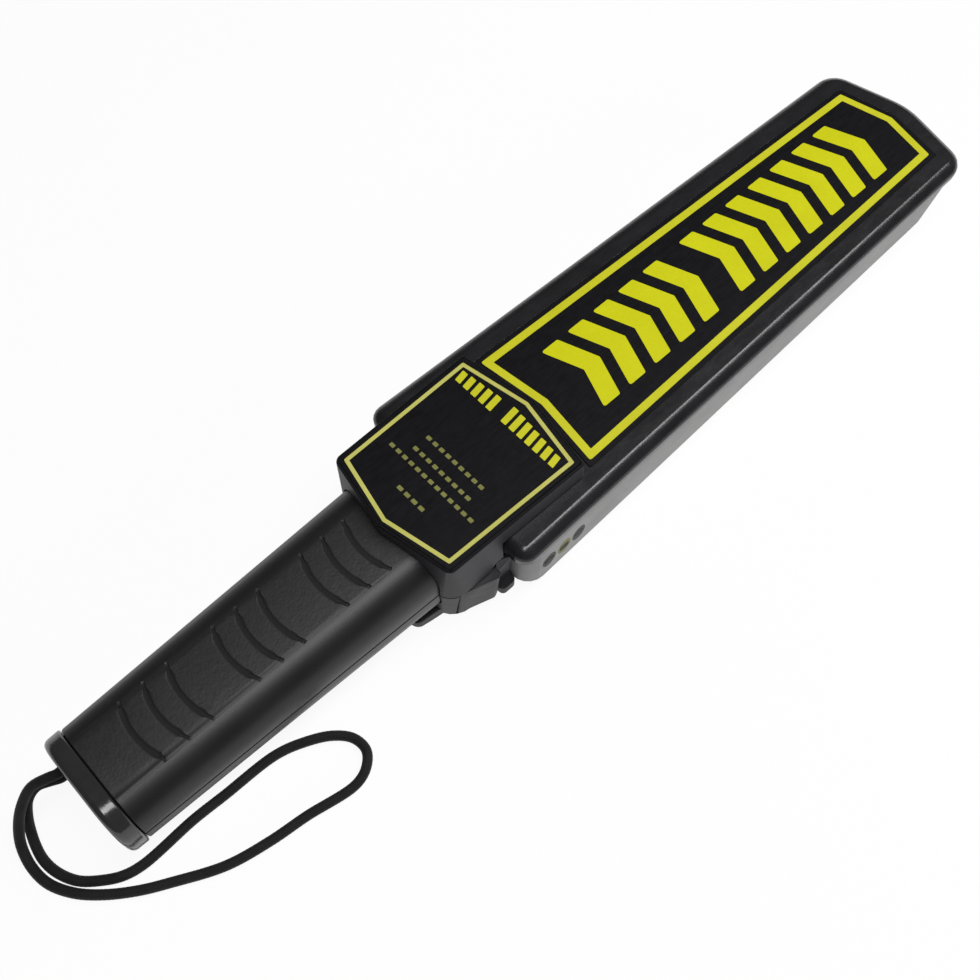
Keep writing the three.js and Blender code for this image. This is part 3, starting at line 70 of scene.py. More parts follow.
def srgb(red, green, blue):
    """A colour read from 0 to 255, as the shader takes it."""
    def linear(value):
        share = value / 255
        return share / 12.92 if share <= 0.04045 else ((share + 0.055) / 1.055) ** 2.4
    return (linear(red), linear(green), linear(blue), 1)


class Shader:
    """A material with short calls for its nodes."""

    def __init__(self, name):
        self.material = bpy.data.materials.new(name)
        self.material.use_nodes = True
        self.tree = self.material.node_tree
        self.main = self.tree.nodes["Principled BSDF"]

    @classmethod
    def over(cls, material):
        """Short calls for a material that exists."""
        made = cls.__new__(cls)
        made.material = material
        made.tree = material.node_tree
        made.main = made.tree.nodes["Principled BSDF"]
        return made

    def node(self, kind, **inputs):
        made = self.tree.nodes.new(kind)
        for key, value in inputs.items():
            self.put(made.inputs[key.replace("_", " ")], value)
        return made

    def put(self, socket, value):
        """Gives a socket a constant value, or a link where the value is another socket."""
        if isinstance(value, bpy.types.NodeSocket):
            self.tree.links.new(value, socket)
        else:
            socket.default_value = value

    def set(self, **inputs):
        """Gives values or links to the main shader's inputs."""
        for key, value in inputs.items():
            self.put(self.main.inputs[key.replace("_", " ")], value)

    def place(self, stretch=(1, 1, 1)):
        """Coordinates in metres of the wand's own frame, stretched along each axis."""
        coordinates = self.node("ShaderNodeTexCoord")
        scaled = self.node("ShaderNodeMapping")
        self.put(scaled.inputs["Vector"], coordinates.outputs["Object"])
        scaled.inputs["Scale"].default_value = stretch
        return scaled.outputs["Vector"]

    def noise(self, size, detail=3, rough=0.55, stretch=(1, 1, 1)):
        """Noise whose lumps are about as large as size, in metres."""
        made = self.node("ShaderNodeTexNoise", Vector=self.place(stretch), Scale=1 / size, Detail=detail)
        made.inputs["Roughness"].default_value = rough
        return made.outputs["Fac"]

    def cells(self, size):
        made = self.node("ShaderNodeTexVoronoi", Vector=self.place(), Scale=1 / size)
        made.feature = "SMOOTH_F1"
        return made.outputs["Distance"]

    def math(self, operation, first, second=0.0):
        made = self.node("ShaderNodeMath")
        made.operation = operation
        self.put(made.inputs[0], first)
        self.put(made.inputs[1], second)
        return made.outputs["Value"]

    def ramp(self, factor, low, high):
        """Maps a factor between low and high to the whole range from 0 to 1."""
        made = self.node("ShaderNodeMapRange", Value=factor)
        made.inputs["From Min"].default_value = low
        made.inputs["From Max"].default_value = high
        return made.outputs["Result"]

    def span(self, factor, low, high):
        """Maps a factor from 0 to 1 to the values between low and high."""
        made = self.node("ShaderNodeMapRange", Value=factor)
        made.inputs["To Min"].default_value = low
        made.inputs["To Max"].default_value = high
        return made.outputs["Result"]

    def mix(self, factor, first, second):
        made = self.node("ShaderNodeMix")
        made.data_type = "RGBA"
        self.put(made.inputs["Factor"], factor)
        self.put(made.inputs[6], first)
        self.put(made.inputs[7], second)
        return made.outputs[2]

    def bump(self, height, distance, strength=1.0, before=None):
        made = self.node("ShaderNodeBump", Height=height, Strength=strength, Distance=distance)
        if before is not None:
            self.put(made.inputs["Normal"], before)
        return made.outputs["Normal"]


# Materials

def moulded(name, dark, light, roughness, grain, depth, specular=0.5):
    """A moulded plastic: two close tones, fine grain, faint handling marks and scratches."""
    look = Shader(name)
    tone = look.ramp(look.noise(0.022, 4, 0.6), 0.35, 0.65)
    speck = look.ramp(look.noise(0.0006, 2, 0.6), 0.3, 0.7)
    colour = look.mix(look.math("MULTIPLY", tone, 0.7), dark, light)
    colour = look.mix(look.math("MULTIPLY", speck, 0.35), colour, light)
    rubbed = look.ramp(look.noise(0.009, 5, 0.65, (1, 2.5, 2.5)), 0.3, 0.75)
    look.set(Base_Color=colour, Roughness=look.span(rubbed, roughness - 0.05, roughness + 0.07))
    look.set(Specular_IOR_Level=specular)
    pebbles = look.math("ADD", look.cells(grain), look.math("MULTIPLY", look.noise(grain * 0.6, 3), 0.6))
    normal = look.bump(look.noise(0.03, 2, 0.4), 0.00025, 0.25)
    look.set(Normal=look.bump(pebbles, depth, 0.6, normal))
    return look.material


# The grip's panel with the finger grooves is a plane that rises towards the neck. Its height is read on the
# solid, in front of the first groove and behind the last one

def panel_height(x):
    above = Vector((x, 0, 0.1))
    return frame["nodes"]["handle_upper"].ray_cast(above, Vector((0, 0, -1)))[1].z


panel_low_x = -190 * MM
panel_high_x = -80 * MM
panel_slope = (panel_height(panel_high_x) - panel_height(panel_low_x)) / (panel_high_x - panel_low_x)
panel_start = panel_height(panel_low_x) - panel_slope * panel_low_x
panel_half_width = 12.5 * MM


def grip_plastic(name, dark, light, groove_shade_colour):
    """The grip's plastic: a leather-like panel with painted shade in its near-black, matt grooves, satin on the
    rounded sides.
    """
    look = Shader(name)
    parts = look.node("ShaderNodeSeparateXYZ", Vector=look.place())
    aside = look.math("ABSOLUTE", parts.outputs["Y"])
    panel = look.ramp(aside, 0.0128, 0.0116)
    hide = look.noise(0.0024, 4, 0.6)
    tone = look.ramp(hide, 0.36, 0.64)
    broad = look.ramp(look.noise(0.02, 3, 0.6), 0.35, 0.65)
    colour = look.mix(look.math("MULTIPLY", look.math("MULTIPLY", tone, panel), 0.75), dark, light)
    colour = look.mix(look.math("MULTIPLY", broad, 0.35), colour, light)
    plane = look.math("ADD", look.math("MULTIPLY", parts.outputs["X"], panel_slope), panel_start)
    height = look.math("SUBTRACT", parts.outputs["Z"], plane)
    # Painted shade: the faces sunk into the grooves get a near-black colour, and also a rougher finish.
    sunk = look.math("MULTIPLY", look.ramp(height, -0.00003, -0.0003), look.ramp(height, -0.002, -0.001))
    groove_shade_and_matt = look.math("MULTIPLY", look.ramp(aside, 0.0124, 0.0116), sunk)
    rough = look.math("ADD", look.span(panel, 0.43, 0.5), look.math("MULTIPLY", groove_shade_and_matt, 0.3))
    look.set(Base_Color=look.mix(groove_shade_and_matt, colour, groove_shade_colour), Roughness=rough, Specular_IOR_Level=0.46)
    wrinkles = look.math("ADD", hide, look.cells(0.0009))
    across = look.math("MULTIPLY", parts.outputs["Y"], 1 / panel_half_width)
    crown = look.math("SUBTRACT", 1.0, look.math("MINIMUM", look.math("MULTIPLY", across, across), 1.0))
    fine = look.bump(look.noise(0.0005, 3), 0.00003, 0.5, look.bump(crown, 0.00035, 1.0))
    look.set(Normal=look.bump(wrinkles, 0.00007, look.math("MULTIPLY", panel, 0.7), fine))
    return look.material


def capped_grey(name, dark, light, rim_colour, top):
    """The neck's satin plastic, near-black and matt on the top millimetre of its walls."""
    material = moulded(name, dark, light, 0.5, 0.0006, 0.00003, 0.25)
    look = Shader.over(material)
    parts = look.node("ShaderNodeSeparateXYZ", Vector=look.place())
    # The walls are painted near-black in their top millimetre, with a rougher finish.
    top_rim = look.ramp(parts.outputs["Z"], top - 1.1 * MM, top - 0.9 * MM)
    plain = look.main.inputs["Base Color"].links[0].from_socket
    look.set(Base_Color=look.mix(top_rim, plain, rim_colour), Roughness=look.span(top_rim, 0.52, 0.8))
    return material


def printed(name, dark, light, roughness):
    """Screen-printed ink: a slightly uneven cover and a dry surface."""
    look = Shader(name)
    cover = look.ramp(look.noise(0.0012, 4, 0.7), 0.25, 0.7)
    broad = look.ramp(look.noise(0.018, 3), 0.3, 0.7)
    look.set(Base_Color=look.mix(look.math("MULTIPLY", look.math("ADD", cover, broad), 0.5), dark, light))
    look.set(Roughness=look.span(cover, roughness, roughness + 0.12))
    look.set(Normal=look.bump(look.noise(0.0004, 3), 0.00002, 0.5), Specular_IOR_Level=0.2)
    return look.material


def film(name, dark, light):
    """Black label film with a faint orange-peel surface and fine wipe marks."""
    look = Shader(name)
    blotch = look.ramp(look.noise(0.004, 4, 0.6), 0.35, 0.7)
    look.set(Base_Color=look.mix(blotch, dark, light))
    wipes = look.ramp(look.noise(0.003, 4, 0.6, (0.35, 3, 1)), 0.35, 0.7)
    look.set(Roughness=look.span(wipes, 0.36, 0.5))
    peel = look.bump(look.noise(0.0016, 2), 0.00004, 0.5)
    look.set(Normal=look.bump(look.noise(0.0003, 2), 0.00001, 0.4, peel), Specular_IOR_Level=0.14)
    return look.material


def woven(name, dark, light):
    """Braided cord cover: dry, slightly fuzzy threads. The weave itself is in the cord's mesh."""
    look = Shader(name)
    wear = look.ramp(look.noise(0.006, 4), 0.35, 0.7)
    fuzz = look.ramp(look.noise(0.00025, 3, 0.7), 0.35, 0.75)
    base = look.mix(look.math("MULTIPLY", wear, 0.5), dark, light)
    look.set(Base_Color=look.mix(look.math("MULTIPLY", fuzz, 0.4), base, light))
    look.set(Roughness=look.span(fuzz, 0.72, 0.9), Specular_IOR_Level=0.25)
    look.set(Sheen_Weight=0.1, Sheen_Roughness=0.5)
    look.set(Normal=look.bump(look.noise(0.00018, 3, 0.7), 0.00008, 0.7))
    return look.material


def shaded(tone, share):
    """A tone made darker or lighter by a share, with full alpha."""
    return tuple(min(share * value, 1) for value in tone[:3]) + (1,)


def metal(name, tone, roughness, stretch):
    """Bright metal with fine drawn marks."""
    look = Shader(name)
    marks = look.ramp(look.noise(0.0008, 4, 0.6, stretch), 0.3, 0.7)
    look.set(Base_Color=look.mix(marks, shaded(tone, 0.72), tone), Metallic=1)
    look.set(Roughness=look.span(marks, roughness, roughness + 0.15), Normal=look.bump(marks, 0.00003, 0.5))
    return look.material


def winding(name, tone):
    """Enamelled wire laid side by side, with painted shade in the dips between the wires."""
    look = Shader(name)
    wires = look.node("ShaderNodeTexWave", Vector=look.place(), Scale=520.0, Distortion=0.4)
    wires.bands_direction = "Z"
    lines = wires.outputs["Fac"]
    # Painted shade: the colour drops to half its tone in the dips between the wires.
    look.set(Base_Color=look.mix(lines, shaded(tone, 0.5), tone), Metallic=0.85)
    look.set(Roughness=look.span(lines, 0.3, 0.45), Normal=look.bump(lines, 0.0002, 0.8))
    return look.material


def resin(name, tone, clearness=0.35):
    """Tinted clear resin with faint swirls inside."""
    look = Shader(name)
    swirl = look.ramp(look.noise(0.0015, 3), 0.3, 0.7)
    look.set(Base_Color=look.mix(swirl, shaded(tone, 0.55), tone), Roughness=look.span(swirl, 0.14, 0.26))
    look.set(Transmission_Weight=clearness, IOR=1.52, Normal=look.bump(look.noise(0.001, 2), 0.00003, 0.4))
    return look.material


def laminate(name, tone):
    """Circuit board: solder mask over a faint pattern of tracks."""
    look = Shader(name)
    tracks = look.node(
        "ShaderNodeTexBrick", Vector=look.place(), Scale=180.0,
        Color1=tone, Color2=shaded(tone, 1.5), Mortar=shaded(tone, 0.6))
    look.set(Base_Color=tracks.outputs["Color"], Roughness=look.span(look.noise(0.003), 0.3, 0.5))
    look.set(Normal=look.bump(tracks.outputs["Fac"], 0.00005, 0.5))
    return look.material


neck_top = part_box("neck_cover")[1].z
looks = {
    "cover_black": moulded("cover_black", srgb(20, 20, 22), srgb(29, 29, 32), 0.26, 0.0007, 0.00003, 0.6),
    # The shell's light grey is partly painted light: the wall gets the tone it shows where light falls on it,
    # over plastic that is darker.
    "shell_grey": moulded("shell_grey", srgb(132, 132, 132), srgb(150, 150, 149), 0.58, 0.0006, 0.00004),
    "neck_grey": capped_grey("neck_grey", srgb(44, 44, 47), srgb(55, 55, 58), srgb(14, 14, 17), neck_top),
    # The grip's last colour is the painted shade in its grooves.
    "grip_black": grip_plastic("grip_black", srgb(21, 20, 21), srgb(34, 32, 33), srgb(8, 8, 8)),
    "cap_black": moulded("cap_black", srgb(36, 36, 37), srgb(45, 44, 45), 0.18, 0.0007, 0.00002, 0.65),
    "label_black": film("label_black", srgb(11, 11, 13), srgb(17, 16, 21)),
    "button_grey": moulded("button_grey", srgb(36, 36, 38), srgb(47, 47, 49), 0.48, 0.0006, 0.00003, 0.25),
    "cord_black": woven("cord_black", srgb(15, 15, 16), srgb(31, 31, 32)),
    "steel": metal("steel", srgb(186, 187, 190), 0.26, (1, 1, 4)),
    "copper_winding": winding("copper_winding", srgb(196, 116, 62)),
    "board_green": laminate("board_green", srgb(30, 92, 52)),
    "coil_former": moulded("coil_former", srgb(222, 219, 208), srgb(236, 233, 224), 0.5, 0.0008, 0.00003),
    "dark_part": moulded("dark_part", srgb(24, 24, 26), srgb(36, 36, 38), 0.5, 0.0006, 0.00003),
    "battery_skin": metal("battery_skin", srgb(96, 100, 106), 0.32, (4, 1, 1)),
    "lamp_red": resin("lamp_red", srgb(190, 26, 24)),
    "lamp_yellow": resin("lamp_yellow", srgb(214, 176, 30)),
    "lamp_green": resin("lamp_green", srgb(36, 150, 66)),
    "window_smoke": moulded("window_smoke", srgb(44, 42, 42), srgb(54, 51, 51), 0.5, 0.0006, 0.00002, 0.15),
}
border_ink = printed("border_ink", srgb(188, 186, 24), srgb(205, 204, 40), 0.42)
motif_ink = printed("motif_ink", srgb(194, 194, 5), srgb(208, 208, 12), 0.4)
pale_ink = printed("pale_ink", srgb(176, 174, 84), srgb(198, 196, 106), 0.45)
dim_ink = printed("dim_ink", srgb(108, 108, 56), srgb(130, 130, 72), 0.5)
mark_ink = printed("mark_ink", srgb(50, 50, 50), srgb(68, 68, 67), 0.5)
mark_ink_olive = printed("mark_ink_olive", srgb(104, 104, 58), srgb(126, 126, 76), 0.5)


# Piece helpers

slot_of = {part["node"]: part["material_slot"] for part in frame["record"]["subparts"]}


def add_piece(name, mesh, look, body):
    """A mesh as an object with one material, on one of the moving bodies."""
    piece = bpy.data.objects.new(name, mesh)
    bpy.context.scene.collection.objects.link(piece)
    piece.data.materials.clear()
    piece.data.materials.append(look)
    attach(piece, body)
    return piece


def body_with(node):
    return next(body for body, members in frame["record"]["behaviour"]["bodies"].items() if node in members)


# The walls of the finger grooves lean outwards and their floors are lifted, so that they read as soft channels.
# The rims beside the rounded shoulders stay, because there they lie on a curve
groove_lean = 0.8 * MM
groove_rise = 0.28 * MM
groove_rim_depth = 0.4 * MM
groove_floor_depths = (0.6 * MM, 0.85 * MM)
groove_flat_half_width = 10 * MM
grooves_from_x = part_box("handle_upper")[0].x + 5 * MM
grooves_to_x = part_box("handle_upper")[1].x - 3 * MM
wall_upright = 0.05
wall_lengthwise = 0.85


def slope_grooves(work):
    rims = {}
    floors = set()
    for face in work.faces:
        if abs(face.normal.z) > wall_upright or abs(face.normal.x) < wall_lengthwise:
            continue
        if not all(grooves_from_x < vertex.co.x < grooves_to_x for vertex in face.verts):
            continue
        for vertex in face.verts:
            depth = vertex.co.x * panel_slope + panel_start - vertex.co.z
            if groove_floor_depths[0] < depth < groove_floor_depths[1]:
                floors.add(vertex)
            elif depth < groove_rim_depth and abs(vertex.co.y) < groove_flat_half_width:
                rims[vertex] = rims.get(vertex, Vector((0, 0, 0))) + face.normal
    for vertex, inwards in rims.items():
        inwards.z = 0
        vertex.co -= inwards.normalized() * groove_lean
    for vertex in floors:
        vertex.co.z += groove_rise


sharp_angle = math.radians(28)
merge_angle = math.radians(0.4)
merge_distance = 0.002 * MM
rounding_room = 0.42
least_rounding = 0.12


def weigh_edges(work, width):
    """Gives each sharp edge as much of the rounding's width as the faces beside it have room for."""
    layer = work.edges.layers.float.new("bevel_weight_edge")
    sharp = {
        edge for edge in work.edges if len(edge.link_faces) == 2 and edge.calc_face_angle(0) > sharp_angle}
    room = {}
    for vertex in work.verts:
        soft = [edge.calc_length() for edge in vertex.link_edges if edge not in sharp]
        room[vertex] = rounding_room * min(soft or [edge.calc_length() for edge in vertex.link_edges])
    for edge in sharp:
        share = min(min(room[vertex] for vertex in edge.verts) / width, 1)
        edge[layer] = share if share > least_rounding else 0


def finished(node, width):
    """A copy of a CAD node with fine rounded edges and smooth curves."""
    work = bmesh.new()
    work.from_mesh(frame["nodes"][node].data)
    bmesh.ops.remove_doubles(work, verts=work.verts, dist=merge_distance)
    if node == "handle_upper":
        slope_grooves(work)
    else:
        bmesh.ops.dissolve_limit(work, angle_limit=merge_angle, verts=work.verts, edges=work.edges)
    work.normal_update()
    weigh_edges(work, width)
    mesh = bpy.data.meshes.new(node + "_finish")
    work.to_mesh(mesh)
    work.free()
    mesh.shade_smooth()
    mesh.set_sharp_from_angle(angle=sharp_angle)
    piece = add_piece(node + "_finish", mesh, looks[slot_of[node]], body_with(node))
    rounding = piece.modifiers.new("edges", "BEVEL")
    rounding.width = width
    rounding.segments = 2
    rounding.limit_method = "WEIGHT"
    rounding.use_clamp_overlap = False
    flatter = piece.modifiers.new("flatter", "WEIGHTED_NORMAL")
    flatter.keep_sharp = True
    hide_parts(node)


# The wrist cord, as one tube along the route that the solid follows. X is measured from the wand's end

cord_route = [
    (-0.3, 12, 20.4), (-2.3, 12, 20.4), (-5.2, 13.3, 20.6), (-9.6, 15.7, 18.8), (-14.6, 16.2, 14.0),
    (-18.4, 14.2, 8.2), (-21.0, 11.0, 3.6), (-22.6, 6.6, 1.9), (-23.2, 1.4, 1.9), (-22.2, -4.8, 1.9),
    (-18.8, -11.6, 1.9), (-13.2, -16.7, 1.9), (-7.4, -20.2, 1.9), (-0.7, -21.8, 1.9), (19.8, -21.4, 1.9),
    (31.9, -22.0, 1.9), (52.4, -23.0, 1.9), (61.4, -25.8, 1.9), (70.6, -30.9, 1.9), (75.4, -36.6, 1.9),
    (75.9, -42.6, 1.9), (72.2, -47.0, 1.9), (66.0, -49.1, 1.9), (47.3, -45.9, 1.9), (33.6, -44.0, 1.9),
    (18.7, -40.4, 1.9), (3.2, -32.8, 1.9), (-6.7, -27.2, 1.9), (-15.7, -20.4, 1.9), (-21.9, -13.8, 1.9),
    (-26.2, -5.8, 1.9), (-27.2, 2.0, 2.2), (-25.6, 8.4, 5.2), (-21.8, 12.2, 11.2), (-16.6, 14.4, 17.6),
    (-10.6, 14.8, 23.0), (-5.2, 12.9, 24.9), (-2.3, 12, 24.6), (-0.3, 12, 24.6),
]
cord_diameter = 3.6 * MM
cord_sides = 24
cord_ring_step = 0.6 * MM
cord_threads = 8
cord_thread_height = 0.09 * MM
wand_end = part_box("end_cap")[0].x


def centripetal(points, step):
    """Points a step apart on the centripetal Catmull-Rom curve through the given ones."""
    ends = [points[0] * 2 - points[1], *points, points[-1] * 2 - points[-2]]
    fine = []
    for before, first, second, after in zip(ends, ends[1:], ends[2:], ends[3:]):
        gaps = [math.sqrt((b - a).length) for a, b in ((before, first), (first, second), (second, after))]
        leave = ((first - before) / gaps[0] - (second - before) / (gaps[0] + gaps[1])
                 + (second - first) / gaps[1]) * gaps[1]
        arrive = ((second - first) / gaps[1] - (after - first) / (gaps[1] + gaps[2])
                  + (after - second) / gaps[2]) * gaps[1]
        cuts = max(2, round((second - first).length / (step * 0.25)))
        for i in range(cuts):
            t = i / cuts
            fine.append(
                first * (2 * t ** 3 - 3 * t ** 2 + 1) + leave * (t ** 3 - 2 * t ** 2 + t)
                + second * (3 * t ** 2 - 2 * t ** 3) + arrive * (t ** 3 - t ** 2))
    fine.append(points[-1].copy())
    even = [fine[0]]
    walked = 0.0
    for a, b in zip(fine, fine[1:]):
        walked += (b - a).length
        if walked >= step:
            even.append(b)
            walked = 0.0
    if (even[-1] - fine[-1]).length > step * 0.3:
        even.append(fine[-1])
    else:
        even[-1] = fine[-1]
    return even


def tube_mesh(name, path, radius_at, sides):
    """A closed tube along a path, with its ends capped. radius_at takes the length so far and the turn."""
    corners = []
    side = Vector((0, 0, 1)).cross(path[1] - path[0]).normalized()
    travelled = 0.0
    for i, point in enumerate(path):
        ahead = path[min(i + 1, len(path) - 1)] - path[max(i - 1, 0)]
        ahead.normalize()
        side = (side - ahead * side.dot(ahead)).normalized()
        up = ahead.cross(side)
        if i:
            travelled += (point - path[i - 1]).length
        for k in range(sides):
            turn = 2 * math.pi * k / sides
            corners.append(point + (side * math.cos(turn) + up * math.sin(turn)) * radius_at(travelled, turn))
    faces = []
    for i in range(len(path) - 1):
        for k in range(sides):
            low = i * sides
            high = low + sides
            after = (k + 1) % sides
            faces.append((low + k, low + after, high + after, high + k))
    faces.append(tuple(reversed(range(sides))))
    faces.append(tuple(range(len(corners) - sides, len(corners))))
    mesh = bpy.data.meshes.new(name)
    mesh.from_pydata(corners, [], faces)
    mesh.shade_smooth()
    return mesh


def thread_radius(travelled, turn):
    """Threads that cross over and under each other round the cord."""
    along = travelled / (math.pi * cord_diameter) * 2 * math.pi
    weave = math.sin(cord_threads * (turn + along) / 2) * math.sin(cord_threads * (turn - along) / 2)
    return cord_diameter / 2 - cord_thread_height * (0.5 - 0.5 * weave)


def make_cord():
    points = [Vector((wand_end + x * MM, y * MM, z * MM)) for x, y, z in cord_route]
    path = centripetal(points, cord_ring_step)
    mesh = tube_mesh("wrist_cord", path, thread_radius, cord_sides)
    piece = add_piece("wrist_cord", mesh, looks["cord_black"], "cap")
    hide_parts("wrist_strap")


make_cord()


# Printed labels: borders and plain bars in thin ink on the black film

ink_thickness = 0.05 * MM
ink_sink = 0.02 * MM
paddle_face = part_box("paddle_label")[1].z
neck_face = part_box("neck_label")[1].z


def inset_outline(corners, inset):
    """Moves every side of a counterclockwise outline inwards by the same distance."""
    moved = []
    for i, (x, y) in enumerate(corners):
        before = Vector(corners[i - 1])
        here = Vector((x, y))
        after = Vector(corners[(i + 1) % len(corners)])
        into = (here - before).normalized()
        out = (after - here).normalized()
        scale = inset / (1 + into.dot(out))
        moved.append((x - (into.y + out.y) * scale, y + (into.x + out.x) * scale))
    return moved


def rounded_outline(corners, radius, steps=4):
    """Rounds each corner of an outline with a short curve."""
    points = []
    for i, corner in enumerate(corners):
        here = Vector(corner)
        back = (Vector(corners[i - 1]) - here).normalized()
        ahead = (Vector(corners[(i + 1) % len(corners)]) - here).normalized()
        reach = radius / max(math.tan(back.angle(ahead) / 2), 0.2)
        for k in range(steps + 1):
            t = k / steps
            points.append(tuple(
                (here + back * reach) * (1 - t) ** 2 + here * 2 * t * (1 - t)
                + (here + ahead * reach) * t ** 2))
    return points


def ink_piece(name, shapes, face, look):
    """Flat ink shapes: each is an outline in millimetres, or an outer and an inner one of equal count."""
    work = bmesh.new()
    low = face - ink_sink
    high = face + ink_thickness

    def wall(points, inward):
        base = [work.verts.new((x * MM, y * MM, low)) for x, y in points]
        top = [work.verts.new((x * MM, y * MM, high)) for x, y in points]
        for i in range(len(points)):
            j = (i + 1) % len(points)
            ring = (base[i], base[j], top[j], top[i])
            work.faces.new(tuple(reversed(ring)) if inward else ring)
        return base, top

    for shape in shapes:
        outer, inner = shape if isinstance(shape[0][0], tuple) else (shape, None)
        base, top = wall(outer, False)
        if inner is None:
            work.faces.new(top)
            work.faces.new(tuple(reversed(base)))
            continue
        inner_base, inner_top = wall(inner, True)
        for i in range(len(outer)):
            j = (i + 1) % len(outer)
            work.faces.new((top[i], top[j], inner_top[j], inner_top[i]))
            work.faces.new((base[j], base[i], inner_base[i], inner_base[j]))
    bmesh.ops.recalc_face_normals(work, faces=work.faces)
    mesh = bpy.data.meshes.new(name)
    work.to_mesh(mesh)
    work.free()
    piece = add_piece(name, mesh, look, "wand")


def border(corners, width, outer_radius, inner_radius):
    """A closed stripe, as its outer and its inner outline."""
    inner = inset_outline(corners, width)
    return (rounded_outline(corners, outer_radius), rounded_outline(inner, inner_radius))


paddle_border_corners = [
    (-10.7, -27.8), (188.6, -22.7), (193.6, 0), (188.6, 22.7), (-10.7, 27.8), (-7.1, 0),
]
paddle_border_width = 3.0
neck_border_corners = [
    (-81.0, 0), (-75.3, -26.5), (-19.3, -27.8), (-14.1, 0), (-19.3, 27.8), (-75.3, 26.5),
]
neck_border_width = 1.45

paddle_border = border(paddle_border_corners, paddle_border_width, 0.9, 0.3)
neck_border = border(neck_border_corners, neck_border_width, 0.7, 0.2)
ink_piece("paddle_border", [paddle_border], paddle_face, border_ink)
ink_piece("neck_border", [neck_border], neck_face, pale_ink)

# The paddle's motif: chevrons that point to the tip, in two groups
chevron_half = 16.0
chevron_arm = 8.2
chevron_advance = 6.0
chevron_pitch = 13.3
chevron_groups = ((8.4, 5), (82.0, 7))


def chevron(x):
    corners = [
        (x, -chevron_half), (x + chevron_arm, -chevron_half), (x + chevron_arm + chevron_advance, 0),
        (x + chevron_arm, chevron_half), (x, chevron_half), (x + chevron_advance, 0),
    ]
    return rounded_outline(corners, 0.9, 3)


chevrons = [chevron(start + i * chevron_pitch) for start, count in chevron_groups for i in range(count)]
ink_piece("paddle_motif", chevrons, paddle_face, motif_ink)

# The neck's motif: a row of slanted bars under the pointed edge, then rows of short dashes
bar_start = 24.4
bar_pitch = 3.85
bar_width = 2.5
bar_slant = 0.9
bar_low = -26.2
bar_high_middle = -18.8
bar_high_end = -21.6
bar_groups = ((0, 5), (6, 7))


def slanted_bar(index):
    y = bar_start - index * bar_pitch
    middle = y - bar_width / 2
    high = bar_high_middle + (bar_high_end - bar_high_middle) * abs(middle) / bar_start
    corners = [
        (bar_low, y - bar_width), (high, y - bar_width + bar_slant), (high, y + bar_slant), (bar_low, y),
    ]
    return rounded_outline(corners, 0.3, 2)


bars = [slanted_bar(first + i) for first, count in bar_groups for i in range(count)]
ink_piece("neck_motif", bars, neck_face, border_ink)

# Each row of dashes: its place along X and its half length across
dash_rows = ((-48.7, 14.0), (-54.7, 14.0), (-59.6, 20.6), (-68.6, 6.4))
dash_height = 1.5
dash_length = 2.0
dash_gap = 1.2


def dash_row(x, half):
    count = round((2 * half + dash_gap) / (dash_length + dash_gap))
    pitch = (2 * half + dash_gap) / count
    shapes = []
    for i in range(count):
        y = -half + i * pitch
        shapes.append(rounded_outline([
            (x - dash_height / 2, y), (x + dash_height / 2, y),
            (x + dash_height / 2, y + pitch - dash_gap), (x - dash_height / 2, y + pitch - dash_gap),
        ], 0.3, 2))
    return shapes


dashes = [shape for x, half in dash_rows for shape in dash_row(x, half)]
ink_piece("neck_dashes", dashes, neck_face, dim_ink)


# The marks round the three lamp windows: ovals of ink that follow the leaning wall

mark_half_width = 3.2 * MM
mark_half_height = 4.8 * MM
mark_steps = 32
mark_start_y = -60 * MM
mark_inner_start = 0.96
mark_inner_step = 0.02
mark_inner_least = 0.3
mark_hole_margin = 0.04
wall_lean_room = 1.2 * MM


def lamp_mark(name, centre_x, centre_z, look):
    """An oval of ink on the tray's wall that leaves only the window's hole open."""
    shell = frame["nodes"]["paddle_shell"]

    def wall_at(turn, reach):
        start = Vector((
            centre_x + mark_half_width * reach * math.cos(turn), mark_start_y,
            centre_z + mark_half_height * reach * math.sin(turn)))
        _, hit, normal, _ = shell.ray_cast(start, Vector((0, 1, 0)))
        return hit, normal

    work = bmesh.new()
    rings = [[], [], [], []]
    for i in range(mark_steps):
        turn = 2 * math.pi * i / mark_steps
        outer, outer_normal = wall_at(turn, 1)
        reach = mark_inner_start
        while (reach > mark_inner_least
               and abs(wall_at(turn, reach - mark_hole_margin)[0].y - outer.y) < wall_lean_room):
            reach -= mark_inner_step
        inner, inner_normal = wall_at(turn, reach)
        for ring, hit, normal, lift in (
                (rings[0], outer, outer_normal, -ink_sink), (rings[1], outer, outer_normal, ink_thickness),
                (rings[2], inner, inner_normal, ink_thickness), (rings[3], inner, inner_normal, -ink_sink)):
            ring.append(work.verts.new(hit + normal * lift))
    for first, second in zip(rings, rings[1:] + rings[:1]):
        for i in range(mark_steps):
            j = (i + 1) % mark_steps
            work.faces.new((first[i], first[j], second[j], second[i]))
    bmesh.ops.recalc_face_normals(work, faces=work.faces)
    mesh = bpy.data.meshes.new(name)
    work.to_mesh(mesh)
    work.free()
    piece = add_piece(name, mesh, look, "wand")


for lamp_name, mark_look in (("red", mark_ink), ("yellow", mark_ink_olive), ("green", mark_ink)):
    low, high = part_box("lamp_window_" + lamp_name)
    lamp_mark("lamp_mark_" + lamp_name, (low.x + high.x) / 2, (low.z + high.z) / 2, mark_look)


# Outer parts with rounded edges

for outer_node, edge_width in (
        ("paddle_shell", 0.3), ("paddle_cover", 0.3), ("neck_base", 0.3), ("neck_cover", 0.35),
        ("handle_lower", 0.5), ("handle_upper", 0.5), ("end_cap", 0.7), ("scan_button", 0.35),
        ("mode_slider", 0.2)):
    finished(outer_node, edge_width * MM)

for node, cad in frame["nodes"].items():
    for slot in cad.material_slots:
        slot.material = looks[slot_of[node]]


# Stage: a pale floor that the camera sees as white, apart from the wand's shadow

floor_half = 3.0
floor_drop = 0.2 * MM
floor_whitening = 0.92


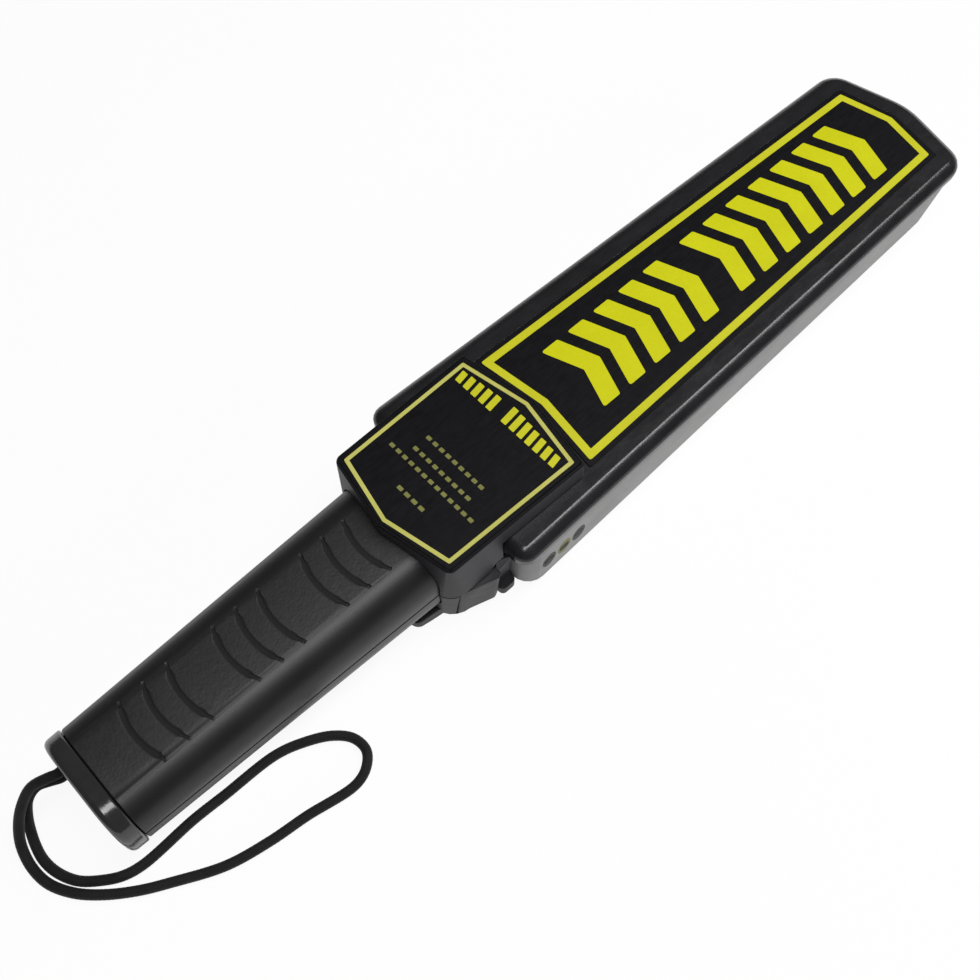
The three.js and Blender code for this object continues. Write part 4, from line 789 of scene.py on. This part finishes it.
def make_floor():
    mesh = bpy.data.meshes.new("floor")
    corners = [(floor_half * x, floor_half * y, 0) for x, y in ((-1, -1), (1, -1), (1, 1), (-1, 1))]
    mesh.from_pydata(corners, [], [(0, 1, 2, 3)])
    floor = bpy.data.objects.new("floor", mesh)
    bpy.context.scene.collection.objects.link(floor)
    look = Shader("floor")
    mottle = look.ramp(look.noise(0.4, 2), 0.3, 0.7)
    look.set(Base_Color=look.mix(mottle, (0.88, 0.88, 0.88, 1), (0.9, 0.9, 0.9, 1)))
    look.set(Roughness=0.9, Specular_IOR_Level=0.1)
    glow = look.node("ShaderNodeEmission", Color=(1, 1, 1, 1))
    rays = look.node("ShaderNodeLightPath")
    seen = look.math("MAXIMUM", rays.outputs["Is Camera Ray"], rays.outputs["Is Glossy Ray"])
    seen = look.math("MAXIMUM", seen, rays.outputs["Is Transmission Ray"])
    blend = look.node("ShaderNodeMixShader")
    look.put(blend.inputs["Fac"], look.math("MULTIPLY", seen, floor_whitening))
    look.put(blend.inputs[1], look.main.outputs["BSDF"])
    look.put(blend.inputs[2], glow.outputs["Emission"])
    look.put(look.tree.nodes["Material Output"].inputs["Surface"], blend.outputs["Shader"])
    mesh.materials.append(look.material)
    floor.location.z = -floor_drop


make_floor()

world_strength = 0.1


def make_world():
    """Soft light from all round, and plain white where the camera sees past the floor."""
    world = bpy.data.worlds.new("studio")
    bpy.context.scene.world = world
    world.use_nodes = True
    tree = world.node_tree
    background = tree.nodes["Background"]
    background.inputs["Color"].default_value = (1, 1, 1, 1)
    rays = tree.nodes.new("ShaderNodeLightPath")
    strength = tree.nodes.new("ShaderNodeMapRange")
    tree.links.new(rays.outputs["Is Camera Ray"], strength.inputs["Value"])
    strength.inputs["To Min"].default_value = world_strength
    strength.inputs["To Max"].default_value = 1.0
    tree.links.new(strength.outputs["Result"], background.inputs["Strength"])


make_world()


def soft_light(name, place, target, width, height, power):
    """A rectangular lamp that looks at a point."""
    data = bpy.data.lights.new(name, "AREA")
    data.shape = "RECTANGLE"
    data.size = width
    data.size_y = height
    data.energy = power
    lamp = bpy.data.objects.new(name, data)
    lamp.location = place
    lamp.rotation_mode = "QUATERNION"
    lamp.rotation_quaternion = (Vector(target) - Vector(place)).to_track_quat("-Z", "Y")
    bpy.context.scene.collection.objects.link(lamp)
    return lamp


# The strip above gives the long highlights. The fill lights the wall on the camera's side and isn't reflected
soft_light("top_strip", (0.3, -0.2, 1.2), (0.1, -0.2, 0), 0.35, 1.7, 17)
fill = soft_light("right_fill", (0.3, -1.2, 0.5), (0, 0, 0), 1.3, 0.4, 5)
fill.visible_glossy = False

bpy.context.scene.view_settings.view_transform = "Standard"

bpy.context.view_layer.update()
